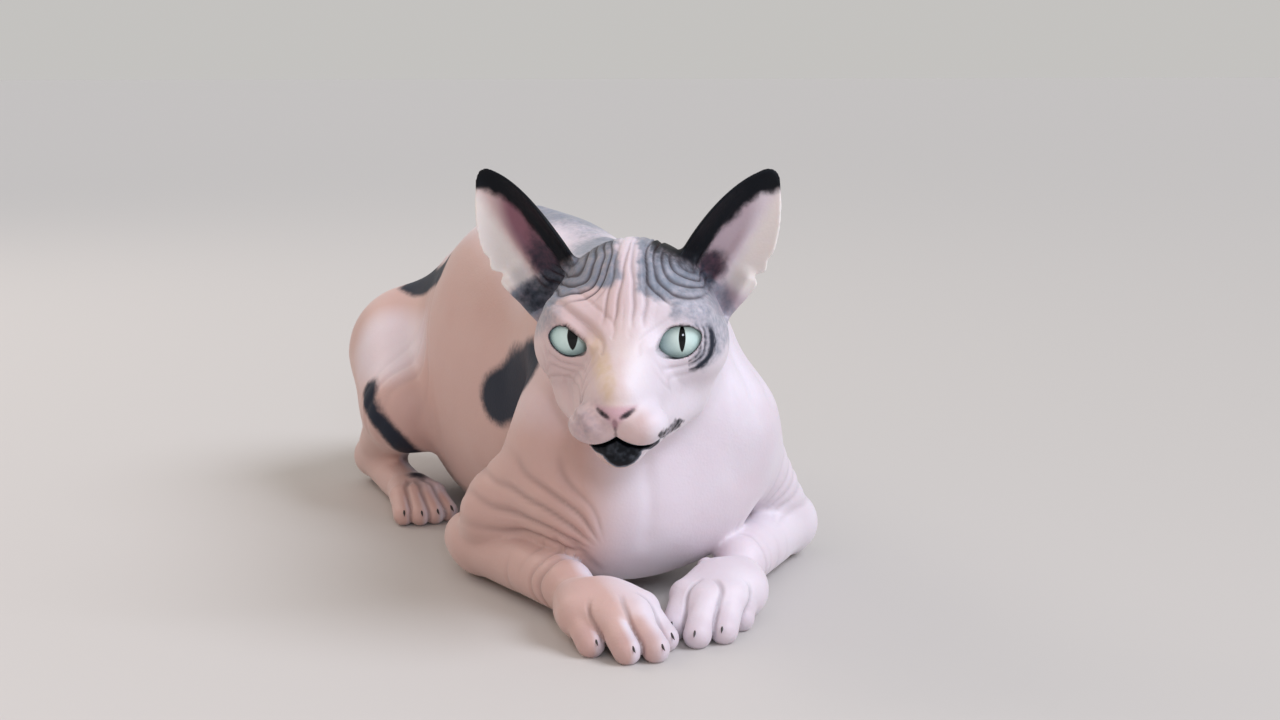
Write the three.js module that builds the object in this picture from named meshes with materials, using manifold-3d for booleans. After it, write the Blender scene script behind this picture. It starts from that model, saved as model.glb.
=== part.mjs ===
// A hairless cat lying on its chest with its forepaws together, life size, in millimetres.
// +Z is up, the cat faces -Y and +X is its left. The origin is on the floor under the middle of its box.
// The flesh is one smooth body of blended forms, each a signed distance that is negative inside.
// It is meshed part by part and parted by thin flat cuts, and it stands on flats at z = 0.
import * as THREE from "three";
import Module from "manifold-3d";

const wasm = await Module();
wasm.setup();

// Driving dimensions
const GAP = 0.3; // between two parts that touch
const EYE_SPACING = 43;
const EYE_RADIUS = 10.3;
const EYE_HEIGHT = 121;
const EAR_LENGTH = 60;
const BACK_HEIGHT = 157;
const BELLY_HALF_WIDTH = 51;
const TAIL_RADIUS = 8.5;
const SHIFT = [-11.5, -48.2, 0]; // from the body's own frame to one with the box centred
const REACH = 1200; // longer than any cut needs

const V = (x, y, z) => new THREE.Vector3(x, y, z);
const mix = (a, b, t) => a + (b - a) * t;
const clamp = (t) => Math.min(1, Math.max(0, t));
const radians = THREE.MathUtils.degToRad;

// A form is its distance, and a sphere that holds it.
const form = (at, centre, reach) => ({ at, centre, reach });

// A cone with round ends, from a to b.
function cone(a, b, ra, rb) {
  const axis = b.clone().sub(a);
  const length = axis.length();
  axis.divideScalar(length);
  const lean = Math.max(-0.95, Math.min(0.95, (ra - rb) / length));
  const run = Math.sqrt(1 - lean * lean);
  const at = (x, y, z) => {
    const px = x - a.x;
    const py = y - a.y;
    const pz = z - a.z;
    const along = px * axis.x + py * axis.y + pz * axis.z;
    const out = Math.sqrt(Math.max(0, px * px + py * py + pz * pz - along * along));
    const t = along * run - out * lean;
    if (t <= 0) return Math.hypot(along, out) - ra;
    if (t >= length * run) return Math.hypot(along - length, out) - rb;
    return out * run + along * lean - ra;
  };
  return form(at, a.clone().lerp(b, 0.5), length / 2 + Math.max(ra, rb));
}

// An ellipsoid, turned by degrees about Z.
function egg(centre, [rx, ry, rz], turn = 0) {
  const cos = Math.cos(radians(turn));
  const sin = Math.sin(radians(turn));
  const at = (x, y, z) => {
    const dx = x - centre.x;
    const dy = y - centre.y;
    const u = (dx * cos + dy * sin) / rx;
    const v = (dy * cos - dx * sin) / ry;
    const w = (z - centre.z) / rz;
    const size = Math.sqrt(u * u + v * v + w * w);
    const steep = Math.sqrt((u / rx) ** 2 + (v / ry) ** 2 + (w / rz) ** 2);
    return steep < 1e-9 ? -Math.min(rx, ry, rz) : (size * (size - 1)) / steep;
  };
  return form(at, centre, Math.max(rx, ry, rz));
}

function smoothMin(a, b, k) {
  const h = Math.max(0, k - Math.abs(a - b)) / k;
  return Math.min(a, b) - (h * h * k) / 4;
}

const smoothMax = (a, b, k) => -smoothMin(-a, -b, k);

// A smooth union of [form, blend width].
function blended(pieces) {
  const centre = V(0, 0, 0);
  pieces.forEach(([f]) => centre.add(f.centre));
  centre.divideScalar(pieces.length);
  const reach = Math.max(...pieces.map(([f]) => f.reach + f.centre.distanceTo(centre)));
  const at = (x, y, z) => {
    let d = 1e3;
    for (const [f, k] of pieces) {
      const dx = x - f.centre.x;
      const dy = y - f.centre.y;
      const dz = z - f.centre.z;
      const far = Math.sqrt(dx * dx + dy * dy + dz * dz) - f.reach;
      if (far < d + k) d = smoothMin(d, f.at(x, y, z), k);
    }
    return d;
  };
  return form(at, centre, reach);
}

const pair = (make) => [make(1), make(-1)];

// THE HEAD, in its own frame: x to the cat's left, y forward from between the eyes, z up.
const HEAD_AT = V(-28, -120, EYE_HEIGHT);
const HEAD_TURN = radians(-28.5); // to the cat's right
const FACE = V(Math.sin(HEAD_TURN), -Math.cos(HEAD_TURN), 0);
const SIDE = V(Math.cos(HEAD_TURN), Math.sin(HEAD_TURN), 0);

const facing = (s, f, u) => V(0, 0, u).addScaledVector(SIDE, s).addScaledVector(FACE, f);
const fromHead = (s, f, u) => facing(s, f, u).add(HEAD_AT);

function toHead(x, y, z) {
  const dx = x - HEAD_AT.x;
  const dy = y - HEAD_AT.y;
  return [dx * SIDE.x + dy * SIDE.y, dx * FACE.x + dy * FACE.y, z - HEAD_AT.z];
}

const SKULL_HALF_WIDTH = 33;
const LID_THICKNESS = 1.3;
const EYE_BACK = 8.8; // from the plane of the eyes to a ball's centre
const MOUTH_TOP = -33.5;
const MOUTH_HALF_WIDTH = 22;
const EYE_OPENING = {
  left: { half: 8.9, up: 6.5, down: 6.3, tilt: 17, frown: 8.5 },
  right: { half: 8.7, up: 6.4, down: 6.3, tilt: 9, frown: 2.6 },
};

const eyeCentre = (side) => V((side * EYE_SPACING) / 2, -EYE_BACK, 0);

// The almond between the lids, as a distance across the face that is negative inside it.
function lidOpening(side, s, u) {
  const o = side > 0 ? EYE_OPENING.left : EYE_OPENING.right;
  const tilt = radians(o.tilt);
  const out = side * s - EYE_SPACING / 2;
  const a = out * Math.cos(tilt) + u * Math.sin(tilt);
  const b = u * Math.cos(tilt) - out * Math.sin(tilt);
  const open = 1 - (a / o.half) ** 2;
  const bow = Math.sign(open) * Math.abs(open) ** 0.7;
  const slope = (1.4 * a) / o.half ** 2 / Math.max(0.08, Math.abs(open)) ** 0.3;
  const above = (b - o.up * bow) / Math.hypot(1, o.up * slope);
  const below = (-b - o.down * bow) / Math.hypot(1, o.down * slope);
  return Math.max(above, below, (u - 0.7 * (out + 2) - o.frown) / 1.22);
}

// The line of the mouth: it drops from under the nose and rises again to the corners.
function mouthHeight(s) {
  const t = Math.min(1, Math.abs(s) / MOUTH_HALF_WIDTH);
  return MOUTH_TOP - 4.4 * Math.sin(Math.PI * t) ** 0.8 + 3 * t * t;
}

const skin = blended([
  [egg(V(0, -37, 4), [SKULL_HALF_WIDTH, 38, 32]), 1],
  [cone(V(0, -26, 13), V(0, -4, -3), 19, 13), 14],
  ...pair((side) => [egg(V(side * 23, -22, -5), [16, 20, 17]), 14]),
  ...pair((side) => [egg(V(side * 19, -10, 10), [13, 10, 6]), 9]),
  [cone(V(0, -6, -2), V(0, 20, -17), 12, 8), 9],
  [cone(V(0, -4, -17), V(0, 15, -26), 19, 12), 10],
  ...pair((side) => [egg(eyeCentre(side), Array(3).fill(EYE_RADIUS + LID_THICKNESS)), 5]),
  ...pair((side) => [egg(V(side * 8.8, 19, -29.5), [10.5, 11.5, 8.5]), 4]),
  [egg(V(0, 25.5, -24.5), [6.8, 5.5, 4.6]), 3],
  ...pair((side) => [cone(V(side * 3, 12, -38), V(side * 19, -22, -25), 7, 12), 8]),
  [egg(V(0.5, 16.5, -40), [8, 8.5, 7]), 3],
]);
const nostrils = blended(
  pair((side) => [cone(V(side * 3.2, 32.5, -25.5), V(side * 7.4, 28, -22.5), 1.5, 0.8), 0.5]),
);

// AN EAR: a leaf-shaped shell on an axis that leans outwards, cupped towards the face.
const EARS = {
  left: { side: 1, root: V(30, -33, 16), tip: V(55.5, -38, 66) },
  right: { side: -1, root: V(-35.5, -30, 16), tip: V(-62.5, -31, 65) },
};
const EAR_OPENS = V(0.28, 0.93, -0.12); // the way the cup of the left ear faces
const EAR_THICKNESS = 2.2;
const EAR_CUP = 13; // depth of the cup at the root
const EAR_CUT = 7; // where an ear is parted from the head
const EAR_INNER_EDGE = { bow: 62, half: 17.5 };
const EAR_OUTER_EDGE = { bow: 72, half: 17.5 };

function ear({ side, root, tip }) {
  const axis = tip.clone().sub(root).normalize();
  const opens = EAR_OPENS.clone();
  opens.x *= side;
  opens.addScaledVector(axis, -opens.dot(axis)).normalize();
  const across = opens.clone().cross(axis).multiplyScalar(-1);
  if (across.x * side < 0) across.negate(); // towards the outer edge
  const at = (s, f, u) => {
    const px = s - root.x;
    const py = f - root.y;
    const pz = u - root.z;
    const t = px * axis.x + py * axis.y + pz * axis.z;
    const x = px * across.x + py * across.y + pz * across.z;
    const o = px * opens.x + py * opens.y + pz * opens.z;
    const up = clamp(t / EAR_LENGTH);
    // The outline is where two large discs meet, rounded at the tip.
    const inner = Math.hypot(x - EAR_INNER_EDGE.bow + EAR_INNER_EDGE.half, t - 12) - EAR_INNER_EDGE.bow;
    const outer = Math.hypot(x + EAR_OUTER_EDGE.bow - EAR_OUTER_EDGE.half, t - 14) - EAR_OUTER_EDGE.bow;
    const outline = smoothMax(smoothMax(inner, outer, 6), t - EAR_LENGTH, 6);
    const half = mix(19, 8, up);
    const cup = mix(EAR_CUP, 3, up ** 0.8);
    const bend = Math.min(1.3, Math.abs(x) / half);
    const sheet = Math.abs(o + cup * (1 - bend * bend)) / Math.hypot(1, (2 * cup * bend) / half);
    const shell = sheet - mix(EAR_THICKNESS, 1.6, up) / 2;
    return smoothMax(smoothMax(shell, outline, 1.2), -t - 14, 2);
  };
  return { ...form(at, root.clone().addScaledVector(axis, 20), 58), axis, root };
}

const ears = { left: ear(EARS.left), right: ear(EARS.right) };

function headForm([s, f, u]) {
  let d = skin.at(s, f, u);
  for (const e of [ears.left, ears.right]) {
    if (Math.hypot(s - e.centre.x, f - e.centre.y, u - e.centre.z) < e.reach + d + 5) {
      d = smoothMin(d, e.at(s, f, u), 4.5);
    }
  }
  return d;
}

// The mouth, the groove under the nose, the nostrils and the openings between the lids.
function carved(whole, [s, f, u]) {
  let d = whole;
  const mouth = Math.max(Math.abs(u - mouthHeight(s)) - 0.7, Math.abs(s) - MOUTH_HALF_WIDTH, -d - 3.5, 2 - f);
  d = smoothMax(d, -mouth, 1);
  d = smoothMax(d, -Math.max(Math.hypot(s, f - 31.5) - 1.6, u + 27, -36 - u), 1);
  d = smoothMax(d, -nostrils.at(s, f, u), 1);
  return f > -EYE_BACK ? smoothMax(d, -lidOpening(Math.sign(s) || 1, s, u), 0.8) : d;
}

// THE TRUNK: an oval tube along Y. Each station has its middle in x, its top, its bottom and
// its half width, from the breast to the rump.
const SPINE = [
  { y: -76, x: 5, top: 96, bottom: 30, half: 26 },
  { y: -60, x: 7, top: 122, bottom: 12, half: 36 },
  { y: -36, x: 10, top: 140, bottom: 2, half: 42 },
  { y: 5, x: 9, top: 148, bottom: -4, half: 45 },
  { y: 50, x: 4, top: 156, bottom: -5, half: 50 },
  { y: 90, x: 0, top: BACK_HEIGHT, bottom: -5, half: BELLY_HALF_WIDTH },
  { y: 130, x: -2, top: 144, bottom: -4, half: 43 },
  { y: 170, x: 0, top: 130, bottom: 2, half: 40 },
  { y: 200, x: 2, top: 112, bottom: 16, half: 29 },
];
const KEYS = ["x", "top", "bottom", "half"];

// A smooth curve through one value of the stations.
function stationValue(key, y) {
  let i = 0;
  while (i < SPINE.length - 2 && y > SPINE[i + 1].y) i += 1;
  const p = SPINE[Math.max(0, i - 1)];
  const a = SPINE[i];
  const b = SPINE[i + 1];
  const q = SPINE[Math.min(SPINE.length - 1, i + 2)];
  const span = b.y - a.y;
  const t = clamp((y - a.y) / span);
  const ma = ((b[key] - p[key]) / (b.y - p.y)) * span;
  const mb = ((q[key] - a[key]) / (q.y - a.y)) * span;
  const t2 = t * t;
  const t3 = t2 * t;
  return (
    (2 * t3 - 3 * t2 + 1) * a[key] + (t3 - 2 * t2 + t) * ma + (3 * t2 - 2 * t3) * b[key] + (t3 - t2) * mb
  );
}

const FIRST = SPINE[0].y;
const LAST = SPINE[SPINE.length - 1].y;
const steps = Array.from({ length: 121 }, (_, i) => {
  const y = mix(FIRST, LAST, i / 120);
  return KEYS.map((key) => stationValue(key, y));
});

const trunk = form(
  (x, y, z) => {
    const place = clamp((y - FIRST) / (LAST - FIRST)) * 120;
    const i = Math.min(119, Math.floor(place));
    const [cx, top, bottom, half] = steps[i].map((v, j) => mix(v, steps[i + 1][j], place - i));
    const tall = (top - bottom) / 2;
    const u = (x - cx) / half;
    const w = (z - (top + bottom) / 2) / tall;
    const size = Math.sqrt(u * u + w * w);
    const steep = Math.hypot(u / half, w / tall);
    const flat = steep < 1e-9 ? -Math.min(half, tall) : (size * (size - 1)) / steep;
    const past = Math.max(FIRST - y, y - LAST);
    return past > 0 ? Math.hypot(Math.max(flat + 8, 0), past) - 8 : flat;
  },
  V(0, 68, 75),
  185,
);

// THE LEGS
const FORE = {
  left: {
    side: 1,
    scapula: V(30, -22, 116),
    shoulder: V(41, -62, 74),
    elbow: V(86, -34, 16),
    wrist: V(41, -82, 14),
    toes: [V(-9, -127, 5), V(-5, -140, 4.8), V(7, -139, 4.8), V(20, -127, 4.8)],
  },
  right: {
    side: -1,
    scapula: V(-12, -22, 116),
    shoulder: V(-28, -56, 74),
    elbow: V(-54, -14, 16),
    wrist: V(-41, -88, 14),
    toes: [V(-19, -139, 5), V(-27, -149, 4.8), V(-38, -147, 4.8), V(-48, -134, 4.8)],
  },
};

const upperArm = ({ scapula, shoulder, elbow }) => [
  [cone(scapula, shoulder, 17, 20), 14],
  [cone(shoulder, elbow, 20, 14), 16],
];

// The forearm, the palm, four toes that fan from it and bend at the knuckle, and the dewclaw.
function forepaw({ elbow, wrist, toes, side }) {
  const middle = toes[1].clone().lerp(toes[2], 0.5);
  const ahead = middle.clone().sub(wrist).setZ(0).normalize();
  const inward = V(-ahead.y, ahead.x, 0).multiplyScalar(-side);
  const palm = wrist.clone().lerp(middle, 0.45).setZ(10.4);
  const pieces = [
    [cone(elbow, elbow.clone().add(V(side * 4, 11, 0)), 13.5, 11), 6],
    [cone(elbow, wrist, 14.5, 11.5), 7],
    [egg(palm, [16.5, 22, 13], THREE.MathUtils.radToDeg(Math.atan2(ahead.y, ahead.x)) + 90), 8],
  ];
  for (const tip of toes) {
    const knuckle = tip.clone().addScaledVector(ahead, -13).lerp(palm, 0.08).setZ(13.2);
    const root = knuckle.clone().lerp(wrist, 0.45).setZ(15);
    const end = tip.clone().addScaledVector(ahead, 0.5);
    pieces.push([cone(root, knuckle, 4.4, 6.7), 8]);
    pieces.push([cone(knuckle, end, 5.8, 5.7), 1.2]);
  }
  const dew = wrist.clone().lerp(middle, 0.22).addScaledVector(inward, 12).setZ(15);
  pieces.push([cone(dew, dew.clone().addScaledVector(ahead, 8).setZ(13), 4.2, 3.2), 3]);
  return blended(pieces);
}

const HIND = {
  left: { side: 1, hip: V(40, 170, 74), knee: V(58, 114, 52), hock: V(56, 186, 14), toe: V(56, 80, 5) },
  right: { side: -1, hip: V(-36, 170, 74), knee: V(-56, 114, 54), hock: V(-56, 186, 14), toe: V(-55, 80, 5) },
};

const thigh = ({ hip, knee }) => [[cone(hip, knee, 36, 22), 16]];

function hindpaw({ hip, knee, hock, toe, side }) {
  const pieces = [
    [cone(hip, knee, 34, 20), 1],
    [cone(knee, hock, 19, 11), 14],
    [cone(hock, toe.clone().add(V(0, 26, 3)), 10.5, 10), 6],
  ];
  for (let i = 0; i < 4; i += 1) {
    const across = (i - 1.5) * 7.6 * side;
    const tip = toe.clone().add(V(across, Math.abs(i - 1.5) * 3.2, 0));
    const knuckle = tip.clone().add(V(-across * 0.25, 15, 6));
    pieces.push([cone(knuckle.clone().add(V(-across * 0.3, 16, 0)), knuckle, 6.5, 6.2), 4]);
    pieces.push([cone(knuckle, tip, 6, 5.2), 1.4]);
  }
  return blended(pieces);
}

// THE TAIL drops from the rump and curls forward along the floor on the cat's left.
const tailCurve = new THREE.CatmullRomCurve3([
  V(3, 200, 90),
  V(4, 222, 78),
  V(9, 237, 52),
  V(22, 245, 24),
  V(46, 243, 10),
  V(74, 226, 7),
  V(91, 192, 6),
  V(97, 156, 5),
  V(97, 122, 4),
  V(94, 98, 3),
]);
const TAIL_STEPS = 26;
const tailRadius = (t) => TAIL_RADIUS * (t < 0.15 ? mix(1.7, 1, t / 0.15) : mix(1, 0.42, (t - 0.15) / 0.85));
const tailPoint = (t) => {
  const p = tailCurve.getPointAt(t);
  return p.setZ(Math.max(p.z, tailRadius(t) - 1.2));
};
const tail = blended(
  Array.from({ length: TAIL_STEPS }, (_, i) => {
    const [a, b] = [i / TAIL_STEPS, (i + 1) / TAIL_STEPS];
    return [cone(tailPoint(a), tailPoint(b), tailRadius(a), tailRadius(b)), 3];
  }),
);

// THE WHOLE BODY. A limb shares its upper form with the core, so a near-hard union leaves no web.
const core = blended([
  [trunk, 1],
  [egg(V(12, -68, 56), [45, 22, 45]), 14],
  [egg(V(-11, -68, 42), [37, 23, 33]), 12],
  [cone(V(-30, -60, 44), V(-52, -32, 34), 18, 15), 12],
  [egg(V(2, 196, 74), [34, 28, 42]), 12],
  [cone(V(-6, -86, 108), V(8, -46, 106), 29, 36), 16],
  [cone(V(8, -46, 106), V(9, -14, 102), 36, 40), 16],
  ...upperArm(FORE.left),
  ...upperArm(FORE.right),
  ...thigh(HIND.left),
  ...thigh(HIND.right),
  [cone(tailPoint(0), tailPoint(0.12), 15, 10), 14],
]);
const limbs = [
  [forepaw(FORE.left), 4],
  [forepaw(FORE.right), 1],
  [hindpaw(HIND.left), 4],
  [hindpaw(HIND.right), 4],
  [tail, 2],
];
const HEAD_BLEND = 9;
const headMid = fromHead(0, -20, 10);

function flesh(x, y, z) {
  let d = core.at(x, y, z);
  for (const [f, k] of limbs) {
    if (Math.hypot(x - f.centre.x, y - f.centre.y, z - f.centre.z) - f.reach < d + k) {
      d = smoothMin(d, f.at(x, y, z), k);
    }
  }
  const far = Math.hypot(x - headMid.x, y - headMid.y, z - headMid.z) - 85;
  if (far >= d + HEAD_BLEND) return d;
  const place = toHead(x, y, z);
  return carved(smoothMin(d, headForm(place), HEAD_BLEND), place);
}

// MESHING: a grid of cubes, each cut into six tetrahedra, joined where their edges cross the skin.
const CORNERS = [0, 1, 3, 2, 4, 5, 7, 6].map((c) => [c & 1, (c >> 1) & 1, c >> 2]);
const TETRAHEDRA = [
  [0, 5, 1, 6],
  [0, 1, 2, 6],
  [0, 2, 3, 6],
  [0, 3, 7, 6],
  [0, 7, 4, 6],
  [0, 4, 5, 6],
];

function meshed(low, high, step) {
  const n = low.map((v, c) => Math.ceil((high[c] - v) / step) + 1);
  const index = (i, j, k) => (k * n[1] + j) * n[0] + i;
  const values = new Float64Array(n[0] * n[1] * n[2]);
  const sides = [0, 0, 0];
  for (let k = 0; k < n[2]; k += 1) {
    for (let j = 0; j < n[1]; j += 1) {
      for (let i = 0; i < n[0]; i += 1) {
        [i, j, k].forEach((v, c) => {
          sides[c] = v === 0 || v === n[c] - 1;
        });
        const v = flesh(low[0] + i * step, low[1] + j * step, low[2] + k * step) || 1e-6;
        values[index(i, j, k)] = sides.some(Boolean) ? Math.max(v, step / 2) : v;
      }
    }
  }
  const points = [];
  const triangles = [];
  const made = new Map();
  const crossing = (a, b) => {
    const [lo, hi] = a.id < b.id ? [a, b] : [b, a];
    const key = lo.id * n[0] * n[1] * n[2] + hi.id;
    if (!made.has(key)) {
      const t = Math.min(0.94, Math.max(0.06, lo.v / (lo.v - hi.v)));
      made.set(key, points.length);
      points.push(lo.p.map((v, c) => mix(v, hi.p[c], t)));
    }
    return made.get(key);
  };
  for (let k = 0; k < n[2] - 1; k += 1) {
    for (let j = 0; j < n[1] - 1; j += 1) {
      for (let i = 0; i < n[0] - 1; i += 1) {
        const ids = CORNERS.map(([a, b, c]) => index(i + a, j + b, k + c));
        const inside = ids.filter((id) => values[id] < 0).length;
        if (inside === 0 || inside === 8) continue;
        const corners = ids.map((id, c) => ({
          id,
          v: values[id],
          p: [i, j, k].map((g, axis) => low[axis] + (g + CORNERS[c][axis]) * step),
        }));
        for (const t of TETRAHEDRA) parted(t.map((c) => corners[c]), crossing, points, triangles);
      }
    }
  }
  return { points, triangles };
}

// The one or two triangles that part a tetrahedron's inner corners from its outer ones.
function parted(corners, crossing, points, triangles) {
  const inner = corners.filter((p) => p.v < 0);
  const outer = corners.filter((p) => p.v >= 0);
  if (!inner.length || !outer.length) return;
  let ring;
  if (inner.length === 1) ring = outer.map((o) => crossing(inner[0], o));
  else if (outer.length === 1) ring = inner.map((o) => crossing(outer[0], o));
  else {
    const [a, b] = inner;
    const [c, d] = outer;
    ring = [crossing(a, c), crossing(a, d), crossing(b, d), crossing(b, c)];
  }
  const [p, q, r] = ring.map((v) => V(...points[v]));
  const outward = V(...outer[0].p).sub(V(...inner[0].p));
  const turned = q.clone().sub(p).cross(r.clone().sub(p)).dot(outward) < 0;
  for (let i = 1; i + 1 < ring.length; i += 1) {
    triangles.push(turned ? [ring[0], ring[i + 1], ring[i]] : [ring[0], ring[i], ring[i + 1]]);
  }
}

// SIMPLIFYING: the edge whose loss changes the form least is closed first, until few enough are left.
function simplified({ points, triangles }, goal) {
  const quadric = points.map(() => new Float64Array(10));
  const around = points.map(() => new Set());
  const alive = triangles.map(() => true);
  const normal = ([a, b, c]) => {
    const [p, q, r] = [points[a], points[b], points[c]];
    const u = [q[0] - p[0], q[1] - p[1], q[2] - p[2]];
    const v = [r[0] - p[0], r[1] - p[1], r[2] - p[2]];
    return [u[1] * v[2] - u[2] * v[1], u[2] * v[0] - u[0] * v[2], u[0] * v[1] - u[1] * v[0]];
  };
  triangles.forEach((t, i) => {
    const m = normal(t);
    const area = Math.hypot(...m) || 1e-12;
    const [a, b, c] = m.map((x) => x / area);
    const p = points[t[0]];
    const d = -(a * p[0] + b * p[1] + c * p[2]);
    const q = [a * a, a * b, a * c, a * d, b * b, b * c, b * d, c * c, c * d, d * d];
    for (const v of t) {
      for (let j = 0; j < 10; j += 1) quadric[v][j] += q[j] * area;
      around[v].add(i);
    }
  });
  const cost = (q, [x, y, z]) =>
    q[0] * x * x + 2 * q[1] * x * y + 2 * q[2] * x * z + 2 * q[3] * x + q[4] * y * y +
    2 * q[5] * y * z + 2 * q[6] * y + q[7] * z * z + 2 * q[8] * z + q[9];
  // The best place for a joined point: the least of the summed quadric, held near the middle.
  const best = (a, b) => {
    const q = quadric[a].map((v, i) => v + quadric[b][i]);
    const m = points[a].map((v, c) => (v + points[b][c]) / 2);
    const hold = 1e-3 * (q[0] + q[4] + q[7]) + 1e-9;
    const A = [q[0] + hold, q[1], q[2], q[1], q[4] + hold, q[5], q[2], q[5], q[7] + hold];
    const r = [hold * m[0] - q[3], hold * m[1] - q[6], hold * m[2] - q[8]];
    const solved = V(...r).applyMatrix3(new THREE.Matrix3().set(...A).invert());
    const place = [solved.x, solved.y, solved.z];
    const reach = Math.hypot(...points[a].map((v, c) => v - points[b][c]));
    const off = Math.hypot(...place.map((v, c) => v - m[c]));
    const p = off < 2 * reach && Number.isFinite(off) ? place : m;
    return { p, c: Math.max(0, cost(q, p)) + 1e-6 * reach * reach };
  };
  const heap = [];
  const swap = (i, j) => {
    [heap[i], heap[j]] = [heap[j], heap[i]];
  };
  const push = (e) => {
    heap.push(e);
    for (let i = heap.length - 1; i > 0; ) {
      const up = (i - 1) >> 1;
      if (heap[up].c <= heap[i].c) break;
      swap(i, up);
      i = up;
    }
  };
  const pop = () => {
    const top = heap[0];
    const last = heap.pop();
    if (!heap.length) return top;
    heap[0] = last;
    for (let i = 0; ; ) {
      let least = i;
      for (const j of [2 * i + 1, 2 * i + 2]) if (j < heap.length && heap[j].c < heap[least].c) least = j;
      if (least === i) return top;
      swap(i, least);
      i = least;
    }
  };
  const version = new Int32Array(points.length);
  const offer = (a, b) => push({ a, b, va: version[a], vb: version[b], ...best(a, b) });
  const neighbours = (v) => {
    const set = new Set();
    for (const t of around[v]) for (const w of triangles[t]) if (w !== v) set.add(w);
    return set;
  };
  points.forEach((_, a) => {
    for (const b of neighbours(a)) if (a < b) offer(a, b);
  });
  let count = triangles.length;
  while (count > goal && heap.length) {
    const e = pop();
    if (version[e.a] !== e.va || version[e.b] !== e.vb) continue;
    const na = neighbours(e.a);
    const nb = neighbours(e.b);
    if ([...na].filter((v) => nb.has(v)).length !== 2 || na.size + nb.size < 8) continue;
    const shared = [...around[e.a]].filter((t) => around[e.b].has(t));
    const kept = [...around[e.a], ...around[e.b]].filter((t) => !shared.includes(t));
    const before = kept.map((t) => normal(triangles[t]));
    const old = [points[e.a], points[e.b]];
    points[e.a] = e.p;
    points[e.b] = e.p;
    const turned = kept.some((t, i) => {
      const m = normal(triangles[t]);
      const b = before[i];
      const dot = m[0] * b[0] + m[1] * b[1] + m[2] * b[2];
      return dot < 0.3 * Math.hypot(...m) * Math.hypot(...b) || Math.hypot(...m) < 1e-4;
    });
    if (turned) {
      [points[e.a], points[e.b]] = old;
      continue;
    }
    for (const t of shared) {
      alive[t] = false;
      for (const v of triangles[t]) around[v].delete(t);
      count -= 1;
    }
    for (const t of around[e.b]) {
      triangles[t] = triangles[t].map((v) => (v === e.b ? e.a : v));
      around[e.a].add(t);
    }
    around[e.b].clear();
    version[e.b] += 1;
    quadric[e.b].forEach((v, j) => {
      quadric[e.a][j] += v;
    });
    const fresh = neighbours(e.a);
    version[e.a] += 1;
    for (const v of fresh) offer(e.a, v);
  }
  return { points, triangles: triangles.filter((_, i) => alive[i]) };
}

// SOLIDS
function solid({ points, triangles }) {
  const used = new Map();
  const kept = [];
  const triVerts = new Uint32Array(triangles.length * 3);
  triangles.flat().forEach((v, i) => {
    if (!used.has(v)) {
      used.set(v, used.size);
      kept.push(...points[v]);
    }
    triVerts[i] = used.get(v);
  });
  return new wasm.Manifold(new wasm.Mesh({ numProp: 3, vertProperties: new Float32Array(kept), triVerts }));
}

function fromGeometry(geometry) {
  const position = geometry.getAttribute("position");
  const index = geometry.index.array;
  const keys = new Map();
  const points = [];
  const same = [];
  for (let i = 0; i < position.count; i += 1) {
    const p = [position.getX(i), position.getY(i), position.getZ(i)];
    const key = p.map((v) => Math.round(v * 1e4)).join();
    if (!keys.has(key)) {
      keys.set(key, points.length);
      points.push(p);
    }
    same.push(keys.get(key));
  }
  const triangles = [];
  for (let i = 0; i < index.length; i += 3) {
    const t = [same[index[i]], same[index[i + 1]], same[index[i + 2]]];
    if (new Set(t).size === 3) triangles.push(t);
  }
  return solid({ points, triangles });
}

// A half of space: all that lies beyond a plane, as a big box. grow moves the plane outwards.
function beyond([point, direction], grow = 0) {
  const normal = direction.clone().normalize();
  const box = new THREE.BoxGeometry(REACH, REACH, REACH);
  box.translate(0, 0, REACH / 2 - grow);
  box.applyQuaternion(new THREE.Quaternion().setFromUnitVectors(V(0, 0, 1), normal));
  box.translate(point.x, point.y, point.z);
  return fromGeometry(box);
}

const region = (planes, grow = 0) =>
  planes.map((p) => beyond(p, grow)).reduce((a, b) => wasm.Manifold.intersection(a, b));

function largest(made) {
  return made.decompose().sort((a, b) => b.volume() - a.volume())[0];
}

const FLOOR = [V(0, 0, 0), V(0, 0, 1)];
const earPlanes = ({ axis, root }, side) => [
  [fromHead(...root.clone().addScaledVector(axis, EAR_CUT).toArray()), facing(...axis.toArray())],
  [fromHead(side * 12, 0, 0), facing(side, 0, 0)],
  [fromHead(0, -62, 0), facing(0, 1, 0)],
];
const headPlanes = [
  [fromHead(0, -35, -45), facing(0, 0.915, 0.4)],
  [fromHead(0, 0, -51), V(0, 0, 1)],
];
const neckPlanes = [
  [V(8, -50, 138), V(-0.2, -0.8, 0.57)],
  [V(0, 0, 66), V(0, 0, 1)],
];
const BETWEEN_PAWS = [V(-14, -134, 0), V(0.97, -0.25, 0)];
const SOLE = [V(0, 0, 38), V(0, 0, -1)];
const armPlanes = {
  left: [
    [V(40, -50, 60), V(0.8, -0.3, -0.52)],
    [V(0, 8, 0), V(0, -1, 0)],
  ],
  right: [
    [V(-27, -45, 60), V(-0.84, -0.2, -0.52)],
    [V(0, 18, 0), V(0, -1, 0)],
  ],
};
const pawPlanes = {
  left: [[V(37, -88, 0), V(-0.62, -0.78, 0)], BETWEEN_PAWS, SOLE],
  right: [[V(-41, -95, 0), V(0.1, -1, 0)], [BETWEEN_PAWS[0], V(-0.97, 0.25, 0)], SOLE],
};
const forearm = [V(0, 0, 31.5), V(0, 0, -1)];
const legPlanes = (side) => [
  [V(side * 40, 140, 60), V(side * 0.8, 0.35, -0.48)],
  [V(side * 30, 0, 0), V(side, 0, 0)],
];
const footPlane = [V(0, 130, 25), V(0, 0.083, -1)];
const tailAt = (t) => [tailPoint(t), tailCurve.getTangentAt(t)];

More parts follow.
